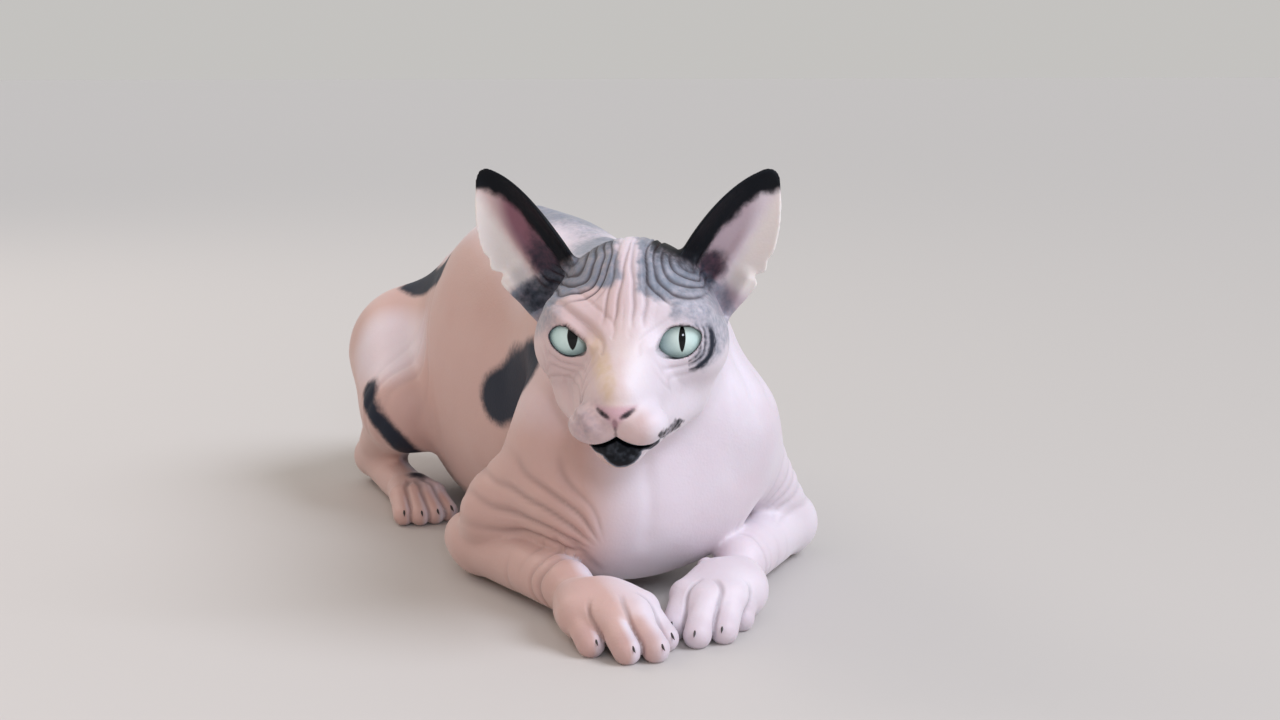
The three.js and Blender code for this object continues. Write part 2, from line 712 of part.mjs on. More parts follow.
// Each part: its box to mesh, the grid's step, how many faces it keeps and its planes. A part that
// comes earlier in the list takes its share of the flesh first.
const PINK = "#cfb0a8";
const PALE = "#dcc8c6";
const GREY = "#57555f";
const PARTS = [
  ["ear_left", [-5, -150, 120], [62, -70, 200], 1.1, 900, earPlanes(ears.left, 1), PINK],
  ["ear_right", [-90, -100, 120], [-15, -35, 200], 1.1, 900, earPlanes(ears.right, -1), PINK],
  ["head", [-85, -165, 64], [48, -35, 172], 1.35, 5200, headPlanes, PALE],
  ["neck", [-50, -125, 58], [60, -20, 160], 2.6, 900, neckPlanes, PINK],
  ["forepaw_left", [-24, -156, -4], [50, -70, 42], 1.5, 1100, pawPlanes.left, PINK],
  ["forepaw_right", [-66, -165, -4], [2, -75, 42], 1.5, 1100, pawPlanes.right, PINK],
  ["foreleg_left_lower", [0, -115, -4], [115, 15, 40], 2, 360, [...armPlanes.left, forearm], PINK],
  ["foreleg_right_lower", [-90, -115, -4], [0, 25, 40], 2, 360, [...armPlanes.right, forearm], PINK],
  ["foreleg_left_upper", [0, -110, 20], [115, 20, 150], 2.6, 700, armPlanes.left, PALE],
  ["foreleg_right_upper", [-90, -110, 20], [10, 30, 150], 2.6, 700, armPlanes.right, PINK],
  ["tail_tip", [78, 85, -4], [112, 200, 22], 1.6, 200, [[V(84, 0, 0), V(1, 0, 0)], tailAt(0.66)], PINK],
  [
    "tail_middle",
    [20, 150, -4],
    [115, 262, 40],
    2,
    240,
    [[V(57, 209, 0), V(0.66, 0.61, 0)], tailAt(0.34)],
    PINK,
  ],
  ["tail_base", [-25, 205, -4], [60, 262, 110], 2.2, 240, [tailAt(0.09), [V(0, 216, 0), V(0, 1, 0)]], PINK],
  ["hindpaw_left", [20, 62, -4], [90, 215, 40], 1.8, 800, [...legPlanes(1), footPlane], PINK],
  ["hindpaw_right", [-90, 62, -4], [-20, 215, 40], 1.8, 800, [...legPlanes(-1), footPlane], PINK],
  ["hindleg_left", [15, 60, 10], [95, 230, 130], 3, 500, legPlanes(1), PINK],
  ["hindleg_right", [-95, 60, 10], [-15, 230, 130], 3, 500, legPlanes(-1), PINK],
  ["torso", [-70, -110, -6], [85, 240, 172], 3.2, 3000, [[V(0, 0, 0), V(0, 0, 1)]], PINK],
];

const cat = new THREE.Group();
cat.name = "sphynx_cat";

function add(name, made, colour, roughness) {
  const mesh = made.getMesh();
  const geometry = new THREE.BufferGeometry();
  const points = new Float32Array(mesh.numVert * 3);
  for (let i = 0; i < mesh.numVert; i += 1) {
    for (let c = 0; c < 3; c += 1) points[3 * i + c] = mesh.vertProperties[mesh.numProp * i + c] + SHIFT[c];
  }
  geometry.setAttribute("position", new THREE.BufferAttribute(points, 3));
  geometry.setIndex(new THREE.BufferAttribute(new Uint32Array(mesh.triVerts), 1));
  const material = new THREE.MeshStandardMaterial({ color: colour, roughness, metalness: 0 });
  const node = new THREE.Mesh(geometry, material);
  node.name = name;
  cat.add(node);
}

function ball(side, radius) {
  const sphere = new THREE.SphereGeometry(radius, 24, 16);
  sphere.translate(...fromHead(...eyeCentre(side).toArray()).toArray());
  return fromGeometry(sphere);
}

const taken = [];
for (const [name, low, high, step, faces, planes, colour] of PARTS) {
  let made = solid(simplified(meshed(low, high, step), faces));
  made = wasm.Manifold.intersection(made, region([...planes, FLOOR]));
  for (const other of taken) made = made.subtract(region(other, GAP));
  if (name === "head") for (const side of [1, -1]) made = made.subtract(ball(side, EYE_RADIUS + GAP));
  taken.push(planes);
  add(name, largest(made), colour, 0.55);
}
add("eye_left", ball(1, EYE_RADIUS), "#a9c9b4", 0.08);
add("eye_right", ball(-1, EYE_RADIUS), "#a9c9b4", 0.08);

export default cat;
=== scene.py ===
"""The looks of a hairless cat that lies with its forepaws together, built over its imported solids."""

import math
from types import SimpleNamespace

import bpy
import numpy as np
from mathutils import Matrix, Vector


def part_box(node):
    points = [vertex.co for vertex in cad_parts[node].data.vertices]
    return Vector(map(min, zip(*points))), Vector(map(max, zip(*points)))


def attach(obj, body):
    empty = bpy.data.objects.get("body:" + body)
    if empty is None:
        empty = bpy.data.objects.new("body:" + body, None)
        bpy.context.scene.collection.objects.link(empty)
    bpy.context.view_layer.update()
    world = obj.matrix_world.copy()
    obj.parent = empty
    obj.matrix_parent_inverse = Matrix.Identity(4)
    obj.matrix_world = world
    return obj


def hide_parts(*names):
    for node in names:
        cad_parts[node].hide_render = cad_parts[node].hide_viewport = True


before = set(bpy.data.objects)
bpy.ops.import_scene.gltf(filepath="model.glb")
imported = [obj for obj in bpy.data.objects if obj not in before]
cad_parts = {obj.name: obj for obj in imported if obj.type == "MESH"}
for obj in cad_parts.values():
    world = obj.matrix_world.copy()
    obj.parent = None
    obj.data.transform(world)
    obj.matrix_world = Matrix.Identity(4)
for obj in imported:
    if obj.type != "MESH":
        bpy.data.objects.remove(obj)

bl_info = {
    "name": "Hairless cat",
    "version": (1, 0, 0),
    "blender": (4, 5, 0),
    "location": "3D View > Sidebar > Cat",
    "description": "Builds the skin, eyes and claws of a lying hairless cat",
    "category": "Object",
}

# Sizes are in millimetres in the body's own frame, as in the solids, and SHIFT centres the box.
SHIFT = np.array([-11.5, -48.2, 0.0])
EYE_SPACING = 43.0
EYE_RADIUS = 10.3
EYE_BACK = 8.8
MOUTH_HALF_WIDTH = 22.0
MOUTH_TOP = -33.5
EAR_LENGTH = 60.0
CORE = list(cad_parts)


# COLOUR
def linear(code):
    """A "#rrggbb" colour as linear RGBA."""
    parts = [int(code[i : i + 2], 16) / 255 for i in (1, 3, 5)]
    return [c / 12.92 if c <= 0.04045 else ((c + 0.055) / 1.055) ** 2.4 for c in parts] + [1.0]


# FORMS: each is (distance of x, y, z, lowest corner, highest corner)
def V(*v):
    return np.array(v, float)


def mix(a, b, t):
    return a + (b - a) * t


def cone(a, b, ra, rb):
    """A cone with round ends."""
    axis = b - a
    length = float(np.linalg.norm(axis))
    axis = axis / length
    lean = max(-0.95, min(0.95, (ra - rb) / length))
    run = math.sqrt(1 - lean * lean)

    def at(x, y, z):
        px, py, pz = x - a[0], y - a[1], z - a[2]
        along = px * axis[0] + py * axis[1] + pz * axis[2]
        out = np.sqrt(np.maximum(px * px + py * py + pz * pz - along * along, 0))
        t = along * run - out * lean
        side = out * run + along * lean - ra
        low = np.hypot(along, out) - ra
        high = np.hypot(along - length, out) - rb
        return np.where(t <= 0, low, np.where(t >= length * run, high, side))

    low = np.minimum(a - ra, b - rb)
    return at, low, np.maximum(a + ra, b + rb)


def egg(centre, radii, turn=0.0):
    """An ellipsoid, turned about Z by degrees."""
    c, s = math.cos(math.radians(turn)), math.sin(math.radians(turn))
    rx, ry, rz = radii

    def at(x, y, z):
        dx, dy = x - centre[0], y - centre[1]
        u, v, w = (dx * c + dy * s) / rx, (dy * c - dx * s) / ry, (z - centre[2]) / rz
        size = np.sqrt(u * u + v * v + w * w)
        steep = np.sqrt((u / rx) ** 2 + (v / ry) ** 2 + (w / rz) ** 2) + 1e-9
        return size * (size - 1) / steep

    reach = max(rx, ry) if turn else None
    half = V(reach or rx, reach or ry, rz)
    return at, centre - half, centre + half


def smooth_min(a, b, k):
    h = np.maximum(k - np.abs(a - b), 0) / k
    return np.minimum(a, b) - h * h * (k / 4)


def smooth_max(a, b, k):
    return -smooth_min(-a, -b, k)


def smoothstep(a, b, x):
    t = np.clip((x - a) / (b - a), 0, 1)
    return t * t * (3 - 2 * t)


def pair(make):
    return [make(1), make(-1)]


def window(axes, low, high, pad):
    """The part of a grid that a form can reach."""
    cuts = []
    for values, a, b in zip(axes, low, high):
        i = max(0, int(np.searchsorted(values, a - pad)) - 1)
        cuts.append(slice(i, int(np.searchsorted(values, b + pad)) + 1))
    return tuple(cuts)


def coordinates(axes, cut=(slice(None),) * 3):
    x, y, z = (values[c].astype(np.float32) for values, c in zip(axes, cut))
    return x[:, None, None], y[None, :, None], z[None, None, :]


def unite(d, axes, pieces):
    """Adds each (form, blend width) to the distances on a grid."""
    for (at, low, high), k in pieces:
        cut = window(axes, low, high, k + 5)
        if d[cut].size:
            d[cut] = smooth_min(d[cut], at(*coordinates(axes, cut)).astype(np.float32), k)


# THE HEAD, in its own frame: s to the cat's left, f forward from between the eyes, u up
HEAD_AT = V(-28, -120, 121)
HEAD_TURN = math.radians(-28.5)
FACE = V(math.sin(HEAD_TURN), -math.cos(HEAD_TURN), 0)
SIDE = V(math.cos(HEAD_TURN), math.sin(HEAD_TURN), 0)


def from_head(s, f, u):
    return HEAD_AT + SIDE * s + FACE * f + V(0, 0, u)


def to_head(x, y, z):
    dx, dy = x - HEAD_AT[0], y - HEAD_AT[1]
    return dx * SIDE[0] + dy * SIDE[1], dx * FACE[0] + dy * FACE[1], z - HEAD_AT[2]


def in_head(form):
    """A form of the head's frame, in the body's."""
    at, low, high = form
    corners = [from_head(*[(low, high)[(c >> i) & 1][i] for i in range(3)]) for c in range(8)]
    return (lambda x, y, z: at(*to_head(x, y, z))), np.min(corners, 0), np.max(corners, 0)


def eye_centre(side):
    return V(side * EYE_SPACING / 2, -EYE_BACK, 0)


# The opening between the lids: half width, height up and down, tilt in degrees, height of the brow's cut.
OPENINGS = {1: (8.9, 6.5, 6.3, 17, 8.5), -1: (8.7, 6.4, 6.3, 9, 4.4)}


def lid_opening(side, s, u):
    """The almond between the lids, as a distance across the face that is negative inside it."""
    half, up, down, tilt, frown = OPENINGS[side]
    c, sn = math.cos(math.radians(tilt)), math.sin(math.radians(tilt))
    out = side * s - EYE_SPACING / 2
    a, b = out * c + u * sn, u * c - out * sn
    wide = 1 - (a / half) ** 2
    bow = np.sign(wide) * np.abs(wide) ** 0.7
    slope = 1.4 * a / half**2 / np.maximum(0.08, np.abs(wide)) ** 0.3
    above = (b - up * bow) / np.hypot(1, up * slope)
    below = (-b - down * bow) / np.hypot(1, down * slope)
    return np.maximum(np.maximum(above, below), (u - 0.7 * (out + 2) - frown) / 1.22)


def mouth_height(s):
    t = np.minimum(1, np.abs(s) / MOUTH_HALF_WIDTH)
    return MOUTH_TOP - 4.4 * np.maximum(np.sin(np.pi * t), 0) ** 0.8 + 3 * t * t


# Each form of the head and the width over which it blends into those before it.
HEAD = [
    (egg(V(0, -37, 4), (33, 38, 32)), 1),  # skull
    (cone(V(0, -26, 13), V(0, -4, -3), 19, 13), 14),  # forehead
    *pair(lambda e: (egg(V(e * 23, -22, -5), (16, 20, 17)), 14)),  # cheekbones
    *pair(lambda e: (egg(V(e * 19, -10, 10), (13, 10, 6)), 9)),  # brows
    (cone(V(0, -6, -2), V(0, 20, -17), 12, 8), 9),  # bridge of the nose
    (cone(V(0, -4, -17), V(0, 15, -26), 19, 12), 10),  # muzzle
    *pair(lambda e: (egg(eye_centre(e), (11.5, 11.5, 11.5)), 5)),  # lids over the eyeballs
    *pair(lambda e: (egg(V(e * 8.8, 19, -29.5), (10.5, 11.5, 8.5)), 4)),  # whisker pads
    (egg(V(0, 25.5, -24.5), (6.8, 5.5, 4.6)), 3),  # tip of the nose
    *pair(lambda e: (cone(V(e * 3, 12, -38), V(e * 19, -22, -25), 7, 12), 8)),  # lower jaw
    (egg(V(0.5, 16.5, -40), (8, 8.5, 7)), 3),  # chin
]
NOSTRILS = pair(lambda e: cone(V(e * 2.6, 31.8, -25.0), V(e * 7.2, 28, -21.8), 1.15, 0.6)[0])

EARS = {1: (V(30, -33, 16), V(55.5, -38, 66)), -1: (V(-35.5, -30, 16), V(-62.5, -31, 65))}


def ear_frame(side):
    root, tip = EARS[side]
    axis = (tip - root) / np.linalg.norm(tip - root)
    opens = V(0.28 * side, 0.93, -0.12)
    opens -= axis * (opens @ axis)
    opens /= np.linalg.norm(opens)
    across = np.cross(opens, axis)
    return root, axis, opens, across if across[0] * side > 0 else -across


def ear_place(side, s, f, u):
    """Place across an ear, along it, and out of its cup."""
    root, axis, opens, across = ear_frame(side)
    p = (s - root[0], f - root[1], u - root[2])
    return [p[0] * d[0] + p[1] * d[1] + p[2] * d[2] for d in (across, axis, opens)]


# The arcs of an ear's edges: centre across and along it, and radius.
INNER_EDGE = 44.5, 12, 62
OUTER_EDGE = -54.5, 14, 72


def ear_outline(x, t):
    inner, outer = (np.hypot(x - across, t - along) - r for across, along, r in (INNER_EDGE, OUTER_EDGE))
    return smooth_max(smooth_max(inner, outer, 6), t - EAR_LENGTH, 6)


def ear(side):
    def at(s, f, u):
        x, t, o = ear_place(side, s, f, u)
        up = np.clip(t / EAR_LENGTH, 0, 1)
        half, cup = mix(19, 8, up), mix(13, 3, up**0.8)
        bend = np.minimum(1.3, np.abs(x) / half)
        sheet = np.abs(o + cup * (1 - bend * bend)) / np.hypot(1, 2 * cup * bend / half)
        # Ridges of gristle run up the cup, lumps stand round the canal and a pouch folds the outer edge.
        ridge = 1.3 * np.exp(-(((x + 9 - t * 0.10) / 1.7) ** 2)) * smoothstep(44, 16, t)
        ridge += 1.5 * np.exp(-(((x - 3 - t * 0.07) / 2.0) ** 2)) * smoothstep(40, 12, t)
        ridge += 2.6 * np.exp(-(((x - 12.5) / 2.6) ** 2)) * smoothstep(17, 11, t)
        ridge += 2.4 * np.exp(-(((x - 5) / 3.4) ** 2 + ((t - 1) / 3.2) ** 2))
        ridge += 2.0 * np.exp(-(((x + 9) / 2.6) ** 2 + ((t - 5) / 4) ** 2))
        ridge = ridge * smoothstep(1.5, 3.0, np.hypot((x + 2) / 2.2, (t - 9.5) / 3.2))
        shell = sheet - mix(2.2, 1.6, up) / 2 - np.where(o > -cup * (1 - bend * bend), ridge, 0)
        notch = (2.3 * np.exp(-(((t - 14) / 1.9) ** 2)) + 0.8 * np.exp(-(((t - 22) / 2.4) ** 2))) * (x > 0)
        return smooth_max(smooth_max(shell, ear_outline(x, t) + notch, 1.2), -t - 14, 2)

    root, axis, _, _ = ear_frame(side)
    centre = root + axis * 20
    return at, centre - 50, centre + 50


# THE TRUNK: stations of y, middle in x, top, bottom and half width
SPINE = np.array(
    [
        [-76, 5, 96, 30, 26],
        [-60, 7, 122, 12, 36],
        [-36, 10, 140, 2, 42],
        [5, 9, 148, -4, 45],
        [50, 4, 156, -5, 50],
        [90, 0, 157, -5, 51],
        [130, -2, 144, -4, 43],
        [170, 0, 130, 2, 40],
        [200, 2, 112, 16, 29],
    ],
    float,
)


def stations(y):
    """A smooth curve through each value of the stations."""
    ys = SPINE[:, 0]
    i = np.clip(np.searchsorted(ys, y) - 1, 0, len(ys) - 2)
    p, q = np.maximum(i - 1, 0), np.minimum(i + 2, len(ys) - 1)
    span = ys[i + 1] - ys[i]
    t = np.clip((y - ys[i]) / span, 0, 1)
    found = []
    for k in range(1, 5):
        v = SPINE[:, k]
        ma = (v[i + 1] - v[p]) / (ys[i + 1] - ys[p]) * span
        mb = (v[q] - v[i]) / (ys[q] - ys[i]) * span
        t2, t3 = t * t, t**3
        ends = (2 * t3 - 3 * t2 + 1) * v[i] + (3 * t2 - 2 * t3) * v[i + 1]
        found.append(ends + (t3 - 2 * t2 + t) * ma + (t3 - t2) * mb)
    return found


def trunk_at(x, y, z):
    cx, top, bottom, half = (v.astype(np.float32) for v in stations(y))
    tall = (top - bottom) / 2
    u, w = (x - cx) / half, (z - (top + bottom) / 2) / tall
    size = np.sqrt(u * u + w * w)
    flat = size * (size - 1) / (np.hypot(u / half, w / tall) + 1e-9)
    past = np.maximum(SPINE[0, 0] - y, y - SPINE[-1, 0])
    return np.where(past > 0, np.hypot(np.maximum(flat + 8, 0), past) - 8, flat)


# THE LEGS
FORE = {
    1: dict(scapula=V(30, -22, 116), shoulder=V(41, -62, 74), elbow=V(86, -34, 16),
            wrist=V(41, -82, 14),
            toes=[V(-9, -127, 5), V(-5, -140, 4.8), V(7, -139, 4.8), V(20, -127, 4.8)]),
    -1: dict(scapula=V(-12, -22, 116), shoulder=V(-28, -56, 74), elbow=V(-54, -14, 16),
             wrist=V(-41, -88, 14),
             toes=[V(-19, -139, 5), V(-27, -149, 4.8), V(-38, -147, 4.8), V(-48, -134, 4.8)]),
}
HIND = {
    1: (V(40, 170, 74), V(58, 114, 52), V(56, 186, 14), V(56, 80, 5)),
    -1: (V(-36, 170, 74), V(-56, 114, 54), V(-56, 186, 14), V(-55, 80, 5)),
}


def upper_arm(side):
    g = FORE[side]
    return [(cone(g["scapula"], g["shoulder"], 17, 20), 14), (cone(g["shoulder"], g["elbow"], 20, 14), 16)]


def paw_axis(side):
    g = FORE[side]
    middle = (g["toes"][1] + g["toes"][2]) / 2
    ahead = (middle - g["wrist"]) * V(1, 1, 0)
    ahead /= np.linalg.norm(ahead)
    palm = mix(g["wrist"], middle, 0.45)
    palm[2] = 10.4
    return middle, ahead, palm


def toe_joints(side, i):
    """Root, knuckle and tip of a front toe."""
    g = FORE[side]
    _, ahead, palm = paw_axis(side)
    tip = g["toes"][i]
    knuckle = mix(tip - ahead * 13, palm, 0.08)
    knuckle[2] = 13.2
    root = mix(knuckle, g["wrist"], 0.45)
    root[2] = 15
    return root, knuckle, tip + ahead * 0.5


def forepaw(side):
    g = FORE[side]
    middle, ahead, palm = paw_axis(side)
    inward = V(-ahead[1], ahead[0], 0) * -side
    turn = math.degrees(math.atan2(ahead[1], ahead[0])) + 90
    pieces = [
        (cone(g["elbow"], g["elbow"] + V(side * 4, 11, 0), 13.5, 11), 6),
        (cone(g["elbow"], g["wrist"], 14.5, 11.5), 7),
        (egg(palm, (16.5, 22, 13), turn), 8),
    ]
    for i in range(4):
        root, knuckle, end = toe_joints(side, i)
        pieces += [(cone(root, knuckle, 4.4, 6.7), 8), (cone(knuckle, end, 5.8, 5.7), 1.2)]
    dew = mix(g["wrist"], middle, 0.22) + inward * 12
    dew[2] = 15
    tip = dew + ahead * 8
    tip[2] = 13
    return pieces + [(cone(dew, tip, 4.2, 3.2), 3)]


def hind_toe(side, i):
    toe = HIND[side][3]
    across = (i - 1.5) * 7.6 * side
    tip = toe + V(across, abs(i - 1.5) * 3.2, 0)
    knuckle = tip + V(-across * 0.25, 15, 6)
    return knuckle + V(-across * 0.3, 16, 0), knuckle, tip


def hindpaw(side):
    hip, knee, hock, toe = HIND[side]
    pieces = [
        (cone(hip, knee, 34, 20), 1),
        (cone(knee, hock, 19, 11), 14),
        (cone(hock, toe + V(0, 26, 3), 10.5, 10), 6),
    ]
    for i in range(4):
        root, knuckle, tip = hind_toe(side, i)
        pieces += [(cone(root, knuckle, 6.5, 6.2), 4), (cone(knuckle, tip, 6, 5.2), 1.4)]
    return pieces


TAIL = np.array(
    [[3, 200, 90], [4, 222, 78], [9, 237, 52], [22, 245, 24], [46, 243, 10], [74, 226, 7], [91, 192, 6],
     [97, 156, 5], [97, 122, 4], [94, 98, 3]], float
)


def tail_path(n=400):
    """A centripetal curve through the tail's points, evened out by length."""
    pts = [2 * TAIL[0] - TAIL[1], *TAIL, 2 * TAIL[-1] - TAIL[-2]]
    path = []
    for a, b, c, d in zip(pts, pts[1:], pts[2:], pts[3:]):
        t = [0.0]
        for p, q in ((a, b), (b, c), (c, d)):
            t.append(t[-1] + np.linalg.norm(q - p) ** 0.5)
        for v in np.linspace(t[1], t[2], 24, endpoint=False):
            def blend(p, q, i, j):
                return p * (t[j] - v) / (t[j] - t[i]) + q * (v - t[i]) / (t[j] - t[i])
            ab, bc, cd = blend(a, b, 0, 1), blend(b, c, 1, 2), blend(c, d, 2, 3)
            path.append(blend(blend(ab, bc, 0, 2), blend(bc, cd, 1, 3), 1, 2))
    path = np.array(path + [TAIL[-1]])
    run = np.concatenate([[0], np.cumsum(np.linalg.norm(np.diff(path, axis=0), axis=1))])
    at = np.linspace(0, run[-1], n + 1)
    return np.stack([np.interp(at, run, path[:, k]) for k in range(3)], 1)


def tail_radius(t):
    return 8.5 * (mix(1.7, 1, t / 0.15) if t < 0.15 else mix(1, 0.42, (t - 0.15) / 0.85))


TAIL_LINE = tail_path()


def tail_point(t):
    p = TAIL_LINE[int(round(t * (len(TAIL_LINE) - 1)))].copy()
    p[2] = max(p[2], tail_radius(t) - 1.2)
    return p


def tail():
    ts = np.arange(27) / 26
    return [
        (cone(tail_point(a), tail_point(b), tail_radius(a), tail_radius(b)), 3) for a, b in zip(ts, ts[1:])
    ]


CORE_FORMS = [
    ((trunk_at, V(-62, -90, -10), V(66, 214, 162)), 1),  # ribs, belly and back
    (egg(V(12, -68, 56), (45, 22, 45)), 14),  # chest
    (egg(V(-11, -68, 42), (37, 23, 33)), 12),  # chest, where it sags to the right
    (cone(V(-30, -60, 44), V(-52, -32, 34), 18, 15), 12),  # right armpit
    (egg(V(2, 196, 74), (34, 28, 42)), 12),  # rump
    (cone(V(-6, -86, 108), V(8, -46, 106), 29, 36), 16),  # neck
    (cone(V(8, -46, 106), V(9, -14, 102), 36, 40), 16),  # withers
    *upper_arm(1),
    *upper_arm(-1),
    *[(cone(HIND[e][0], HIND[e][1], 36, 22), 16) for e in (1, -1)],  # thighs
    (cone(tail_point(0), tail_point(0.12), 15, 10), 14),  # root of the tail
]


def flesh(axes):
    """The distance to the cat's skin on a grid, in millimetres."""
    shape = [len(a) for a in axes]
    d = np.full(shape, 60, np.float32)
    unite(d, axes, CORE_FORMS)
    for pieces, k in ((forepaw(1), 4), (forepaw(-1), 1), (hindpaw(1), 4), (hindpaw(-1), 4), (tail(), 2)):
        low = np.min([p[0][1] for p in pieces], 0)
        high = np.max([p[0][2] for p in pieces], 0)
        cut = window(axes, low, high, k + 6)
        part = [a[c] for a, c in zip(axes, cut)]
        local = np.full([len(a) for a in part], 60, np.float32)
        unite(local, part, pieces)
        d[cut] = smooth_min(d[cut], local, k)
    cut = window(axes, V(-100, -172, 58), V(62, -30, 200), 0)
    part = [a[c] for a, c in zip(axes, cut)]
    head = np.full([len(a) for a in part], 60, np.float32)
    unite(head, part, [(in_head(form), k) for form, k in HEAD])
    unite(head, part, [(in_head(ear(side)), 4.5) for side in (1, -1)])
    body = smooth_min(d[cut], head, 9)
    s, f, u = to_head(*coordinates(part))
    slot = np.maximum(np.abs(u - mouth_height(s)) - 0.7, np.abs(s) - MOUTH_HALF_WIDTH)
    body = smooth_max(body, -np.maximum(slot, np.maximum(-body - 3.5, 2 - f)), 1)
    body = smooth_max(body, -np.maximum(np.hypot(s, f - 31.5) - 1.6, np.maximum(u + 27, -36 - u)), 1)
    for nostril in NOSTRILS:
        body = smooth_max(body, -nostril(s, f, u), 1)
    for side in (1, -1):
        hole = np.maximum(np.maximum(lid_opening(side, s, u), -EYE_BACK - f), -side * s)
        body = smooth_max(body, -hole, 0.8)
        c = eye_centre(side)
        ball = np.sqrt((s - c[0]) ** 2 + (f - c[1]) ** 2 + (u - c[2]) ** 2) - EYE_RADIUS - 0.12
        body = np.maximum(body, -ball)
    d[cut] = body
    return np.maximum(d, -coordinates(axes)[2])


def graded(low, high, fine_low, fine_high, coarse, fine):
    """Grid lines, close together between fine_low and fine_high."""
    lines, x = [], low
    while x < high + coarse:
        lines.append(x)
        near = max(fine_low - x, x - fine_high, 0)
        x += min(coarse, fine + near * 0.12)
    return np.array(lines)


def surface(d, axes):
    """Net of quads where d changes sign: points, quads."""
    inside = d < 0
    nx, ny, nz = d.shape
    cells = np.zeros((nx - 1, ny - 1, nz - 1), np.uint8)
    corners = [(i, j, k) for i in (0, 1) for j in (0, 1) for k in (0, 1)]
    for i, j, k in corners:
        cells += inside[i : nx - 1 + i, j : ny - 1 + j, k : nz - 1 + k]
    active = np.argwhere((cells > 0) & (cells < 8))
    number = np.full(cells.shape, -1, np.int32)
    number[tuple(active.T)] = np.arange(len(active))
    total, count = np.zeros((len(active), 3)), np.zeros(len(active))
    for a in corners:
        for axis in range(3):
            if a[axis]:
                continue
            b = list(a)
            b[axis] = 1
            p, q = active + a, active + b
            va, vb = d[tuple(p.T)], d[tuple(q.T)]
            hit = (va < 0) != (vb < 0)
            p, q, va, vb = p[hit], q[hit], va[hit].astype(float), vb[hit].astype(float)
            t = (va / (va - vb))[:, None]
            pa = np.stack([axes[k][p[:, k]] for k in range(3)], 1)
            pb = np.stack([axes[k][q[:, k]] for k in range(3)], 1)
            total[hit] += pa + (pb - pa) * t
            count[hit] += 1
    points = total / count[:, None]
    quads = []
    for axis in range(3):
        a, b = [slice(1, -1)] * 3, [slice(1, -1)] * 3
        a[axis], b[axis] = slice(0, -1), slice(1, None)
        ia, ib = inside[tuple(a)], inside[tuple(b)]
        e = np.argwhere(ia != ib)
        flip = ia[tuple(e.T)]
        base = e + 1
        base[:, axis] -= 1
        j, k = (axis + 1) % 3, (axis + 2) % 3
        ring = []
        for dj, dk in ((1, 1), (0, 1), (0, 0), (1, 0)):
            c = base.copy()
            c[:, j] -= dj
            c[:, k] -= dk
            ring.append(number[tuple(c.T)])
        ring = np.stack(ring, 1)
        ring[~flip] = ring[~flip][:, ::-1]
        quads.append(ring)
    return points, np.concatenate(quads)


# SMALL TOOLS
def noise(p, scale, seed=0):
    """Smooth noise between -1 and 1 at points, with that feature size in millimetres."""
    q = p / scale + 37.7 * (seed + 1)
    i = np.floor(q).astype(np.int64)
    t = q - i
    t = t * t * (3 - 2 * t)
    value = 0
    for c in range(8):
        o = np.array([c & 1, (c >> 1) & 1, c >> 2])
        n = (i + o) @ np.array([73856093, 19349663, 83492791]) + seed * 7919
        n = (n ^ (n >> 13)) * 1274126177 & 0x7FFFFFFF
        n = (n ^ (n >> 16)) & 0xFFFF
        w = np.prod(np.where(o, t, 1 - t), axis=1)
        value = value + w * (n / 32767.5 - 1)
    return value


def polygon(p, q, corners):
    """Signed distance to a polygon of the face, negative inside."""
    best, odd = np.full(len(p), 1e9), np.zeros(len(p), bool)
    for (ax, ay), (bx, by) in zip(corners, corners[1:] + corners[:1]):
        ex, ey = bx - ax, by - ay
        t = np.clip(((p - ax) * ex + (q - ay) * ey) / (ex * ex + ey * ey), 0, 1)
        best = np.minimum(best, np.hypot(p - ax - t * ex, q - ay - t * ey))
        crosses = (ay > q) != (by > q)
        odd ^= crosses & (p < ax + (q - ay) * ex / (ey if ey else 1e-9))
    return np.where(odd, -best, best)


def segment_distance(p, a, b):
    t = np.clip((p - a) @ (b - a) / ((b - a) @ (b - a)), 0, 1)
    return np.linalg.norm(p - a - np.outer(t, b - a), axis=1)


def blob(p, centre, radii, soft=1.0):
    """1 inside an oval, falling to 0 around it."""
    r = np.sqrt((((p - np.array(centre)) / np.array(radii)) ** 2).sum(1))
    return smoothstep(1 + soft * 0.5, 1 - soft * 0.5, r)


def mesh_object(name, points, faces, matter):
    """A smooth mesh in metres with one material."""
    mesh = bpy.data.meshes.new(name)
    mesh.from_pydata([], [], [])
    faces = np.asarray(faces)
    n = faces.shape[1]
    mesh.vertices.add(len(points))
    mesh.vertices.foreach_set("co", ((np.asarray(points) + SHIFT) / 1000).astype(np.float32).ravel())
    mesh.loops.add(faces.size)
    mesh.loops.foreach_set("vertex_index", faces.astype(np.int32).ravel())
    mesh.polygons.add(len(faces))
    mesh.polygons.foreach_set("loop_start", np.arange(len(faces), dtype=np.int32) * n)
    mesh.update(calc_edges=True)
    mesh.shade_smooth()
    mesh.materials.append(matter)
    obj = bpy.data.objects.new(name, mesh)
    bpy.context.collection.objects.link(obj)
    return obj


def set_attribute(obj, name, values):
    a = obj.data.attributes.new(name, "FLOAT", "POINT")
    a.data.foreach_set("value", np.asarray(values, np.float32))


# MATERIALS
def node(tree, kind, settings=None, **links):
    """Adds a shader node. settings are its properties; links go to its inputs as a socket or a value."""
    made = tree.nodes.new(kind)
    for key, value in (settings or {}).items():
        setattr(made, key, value)
    for key, value in links.items():
        numbered = key[0] == "i" and key[1:].isdigit()
        socket = made.inputs[int(key[1:]) if numbered else key.replace("_", " ")]
        if isinstance(value, bpy.types.NodeSocket):
            tree.links.new(value, socket)
        else:
            socket.default_value = value
    return made


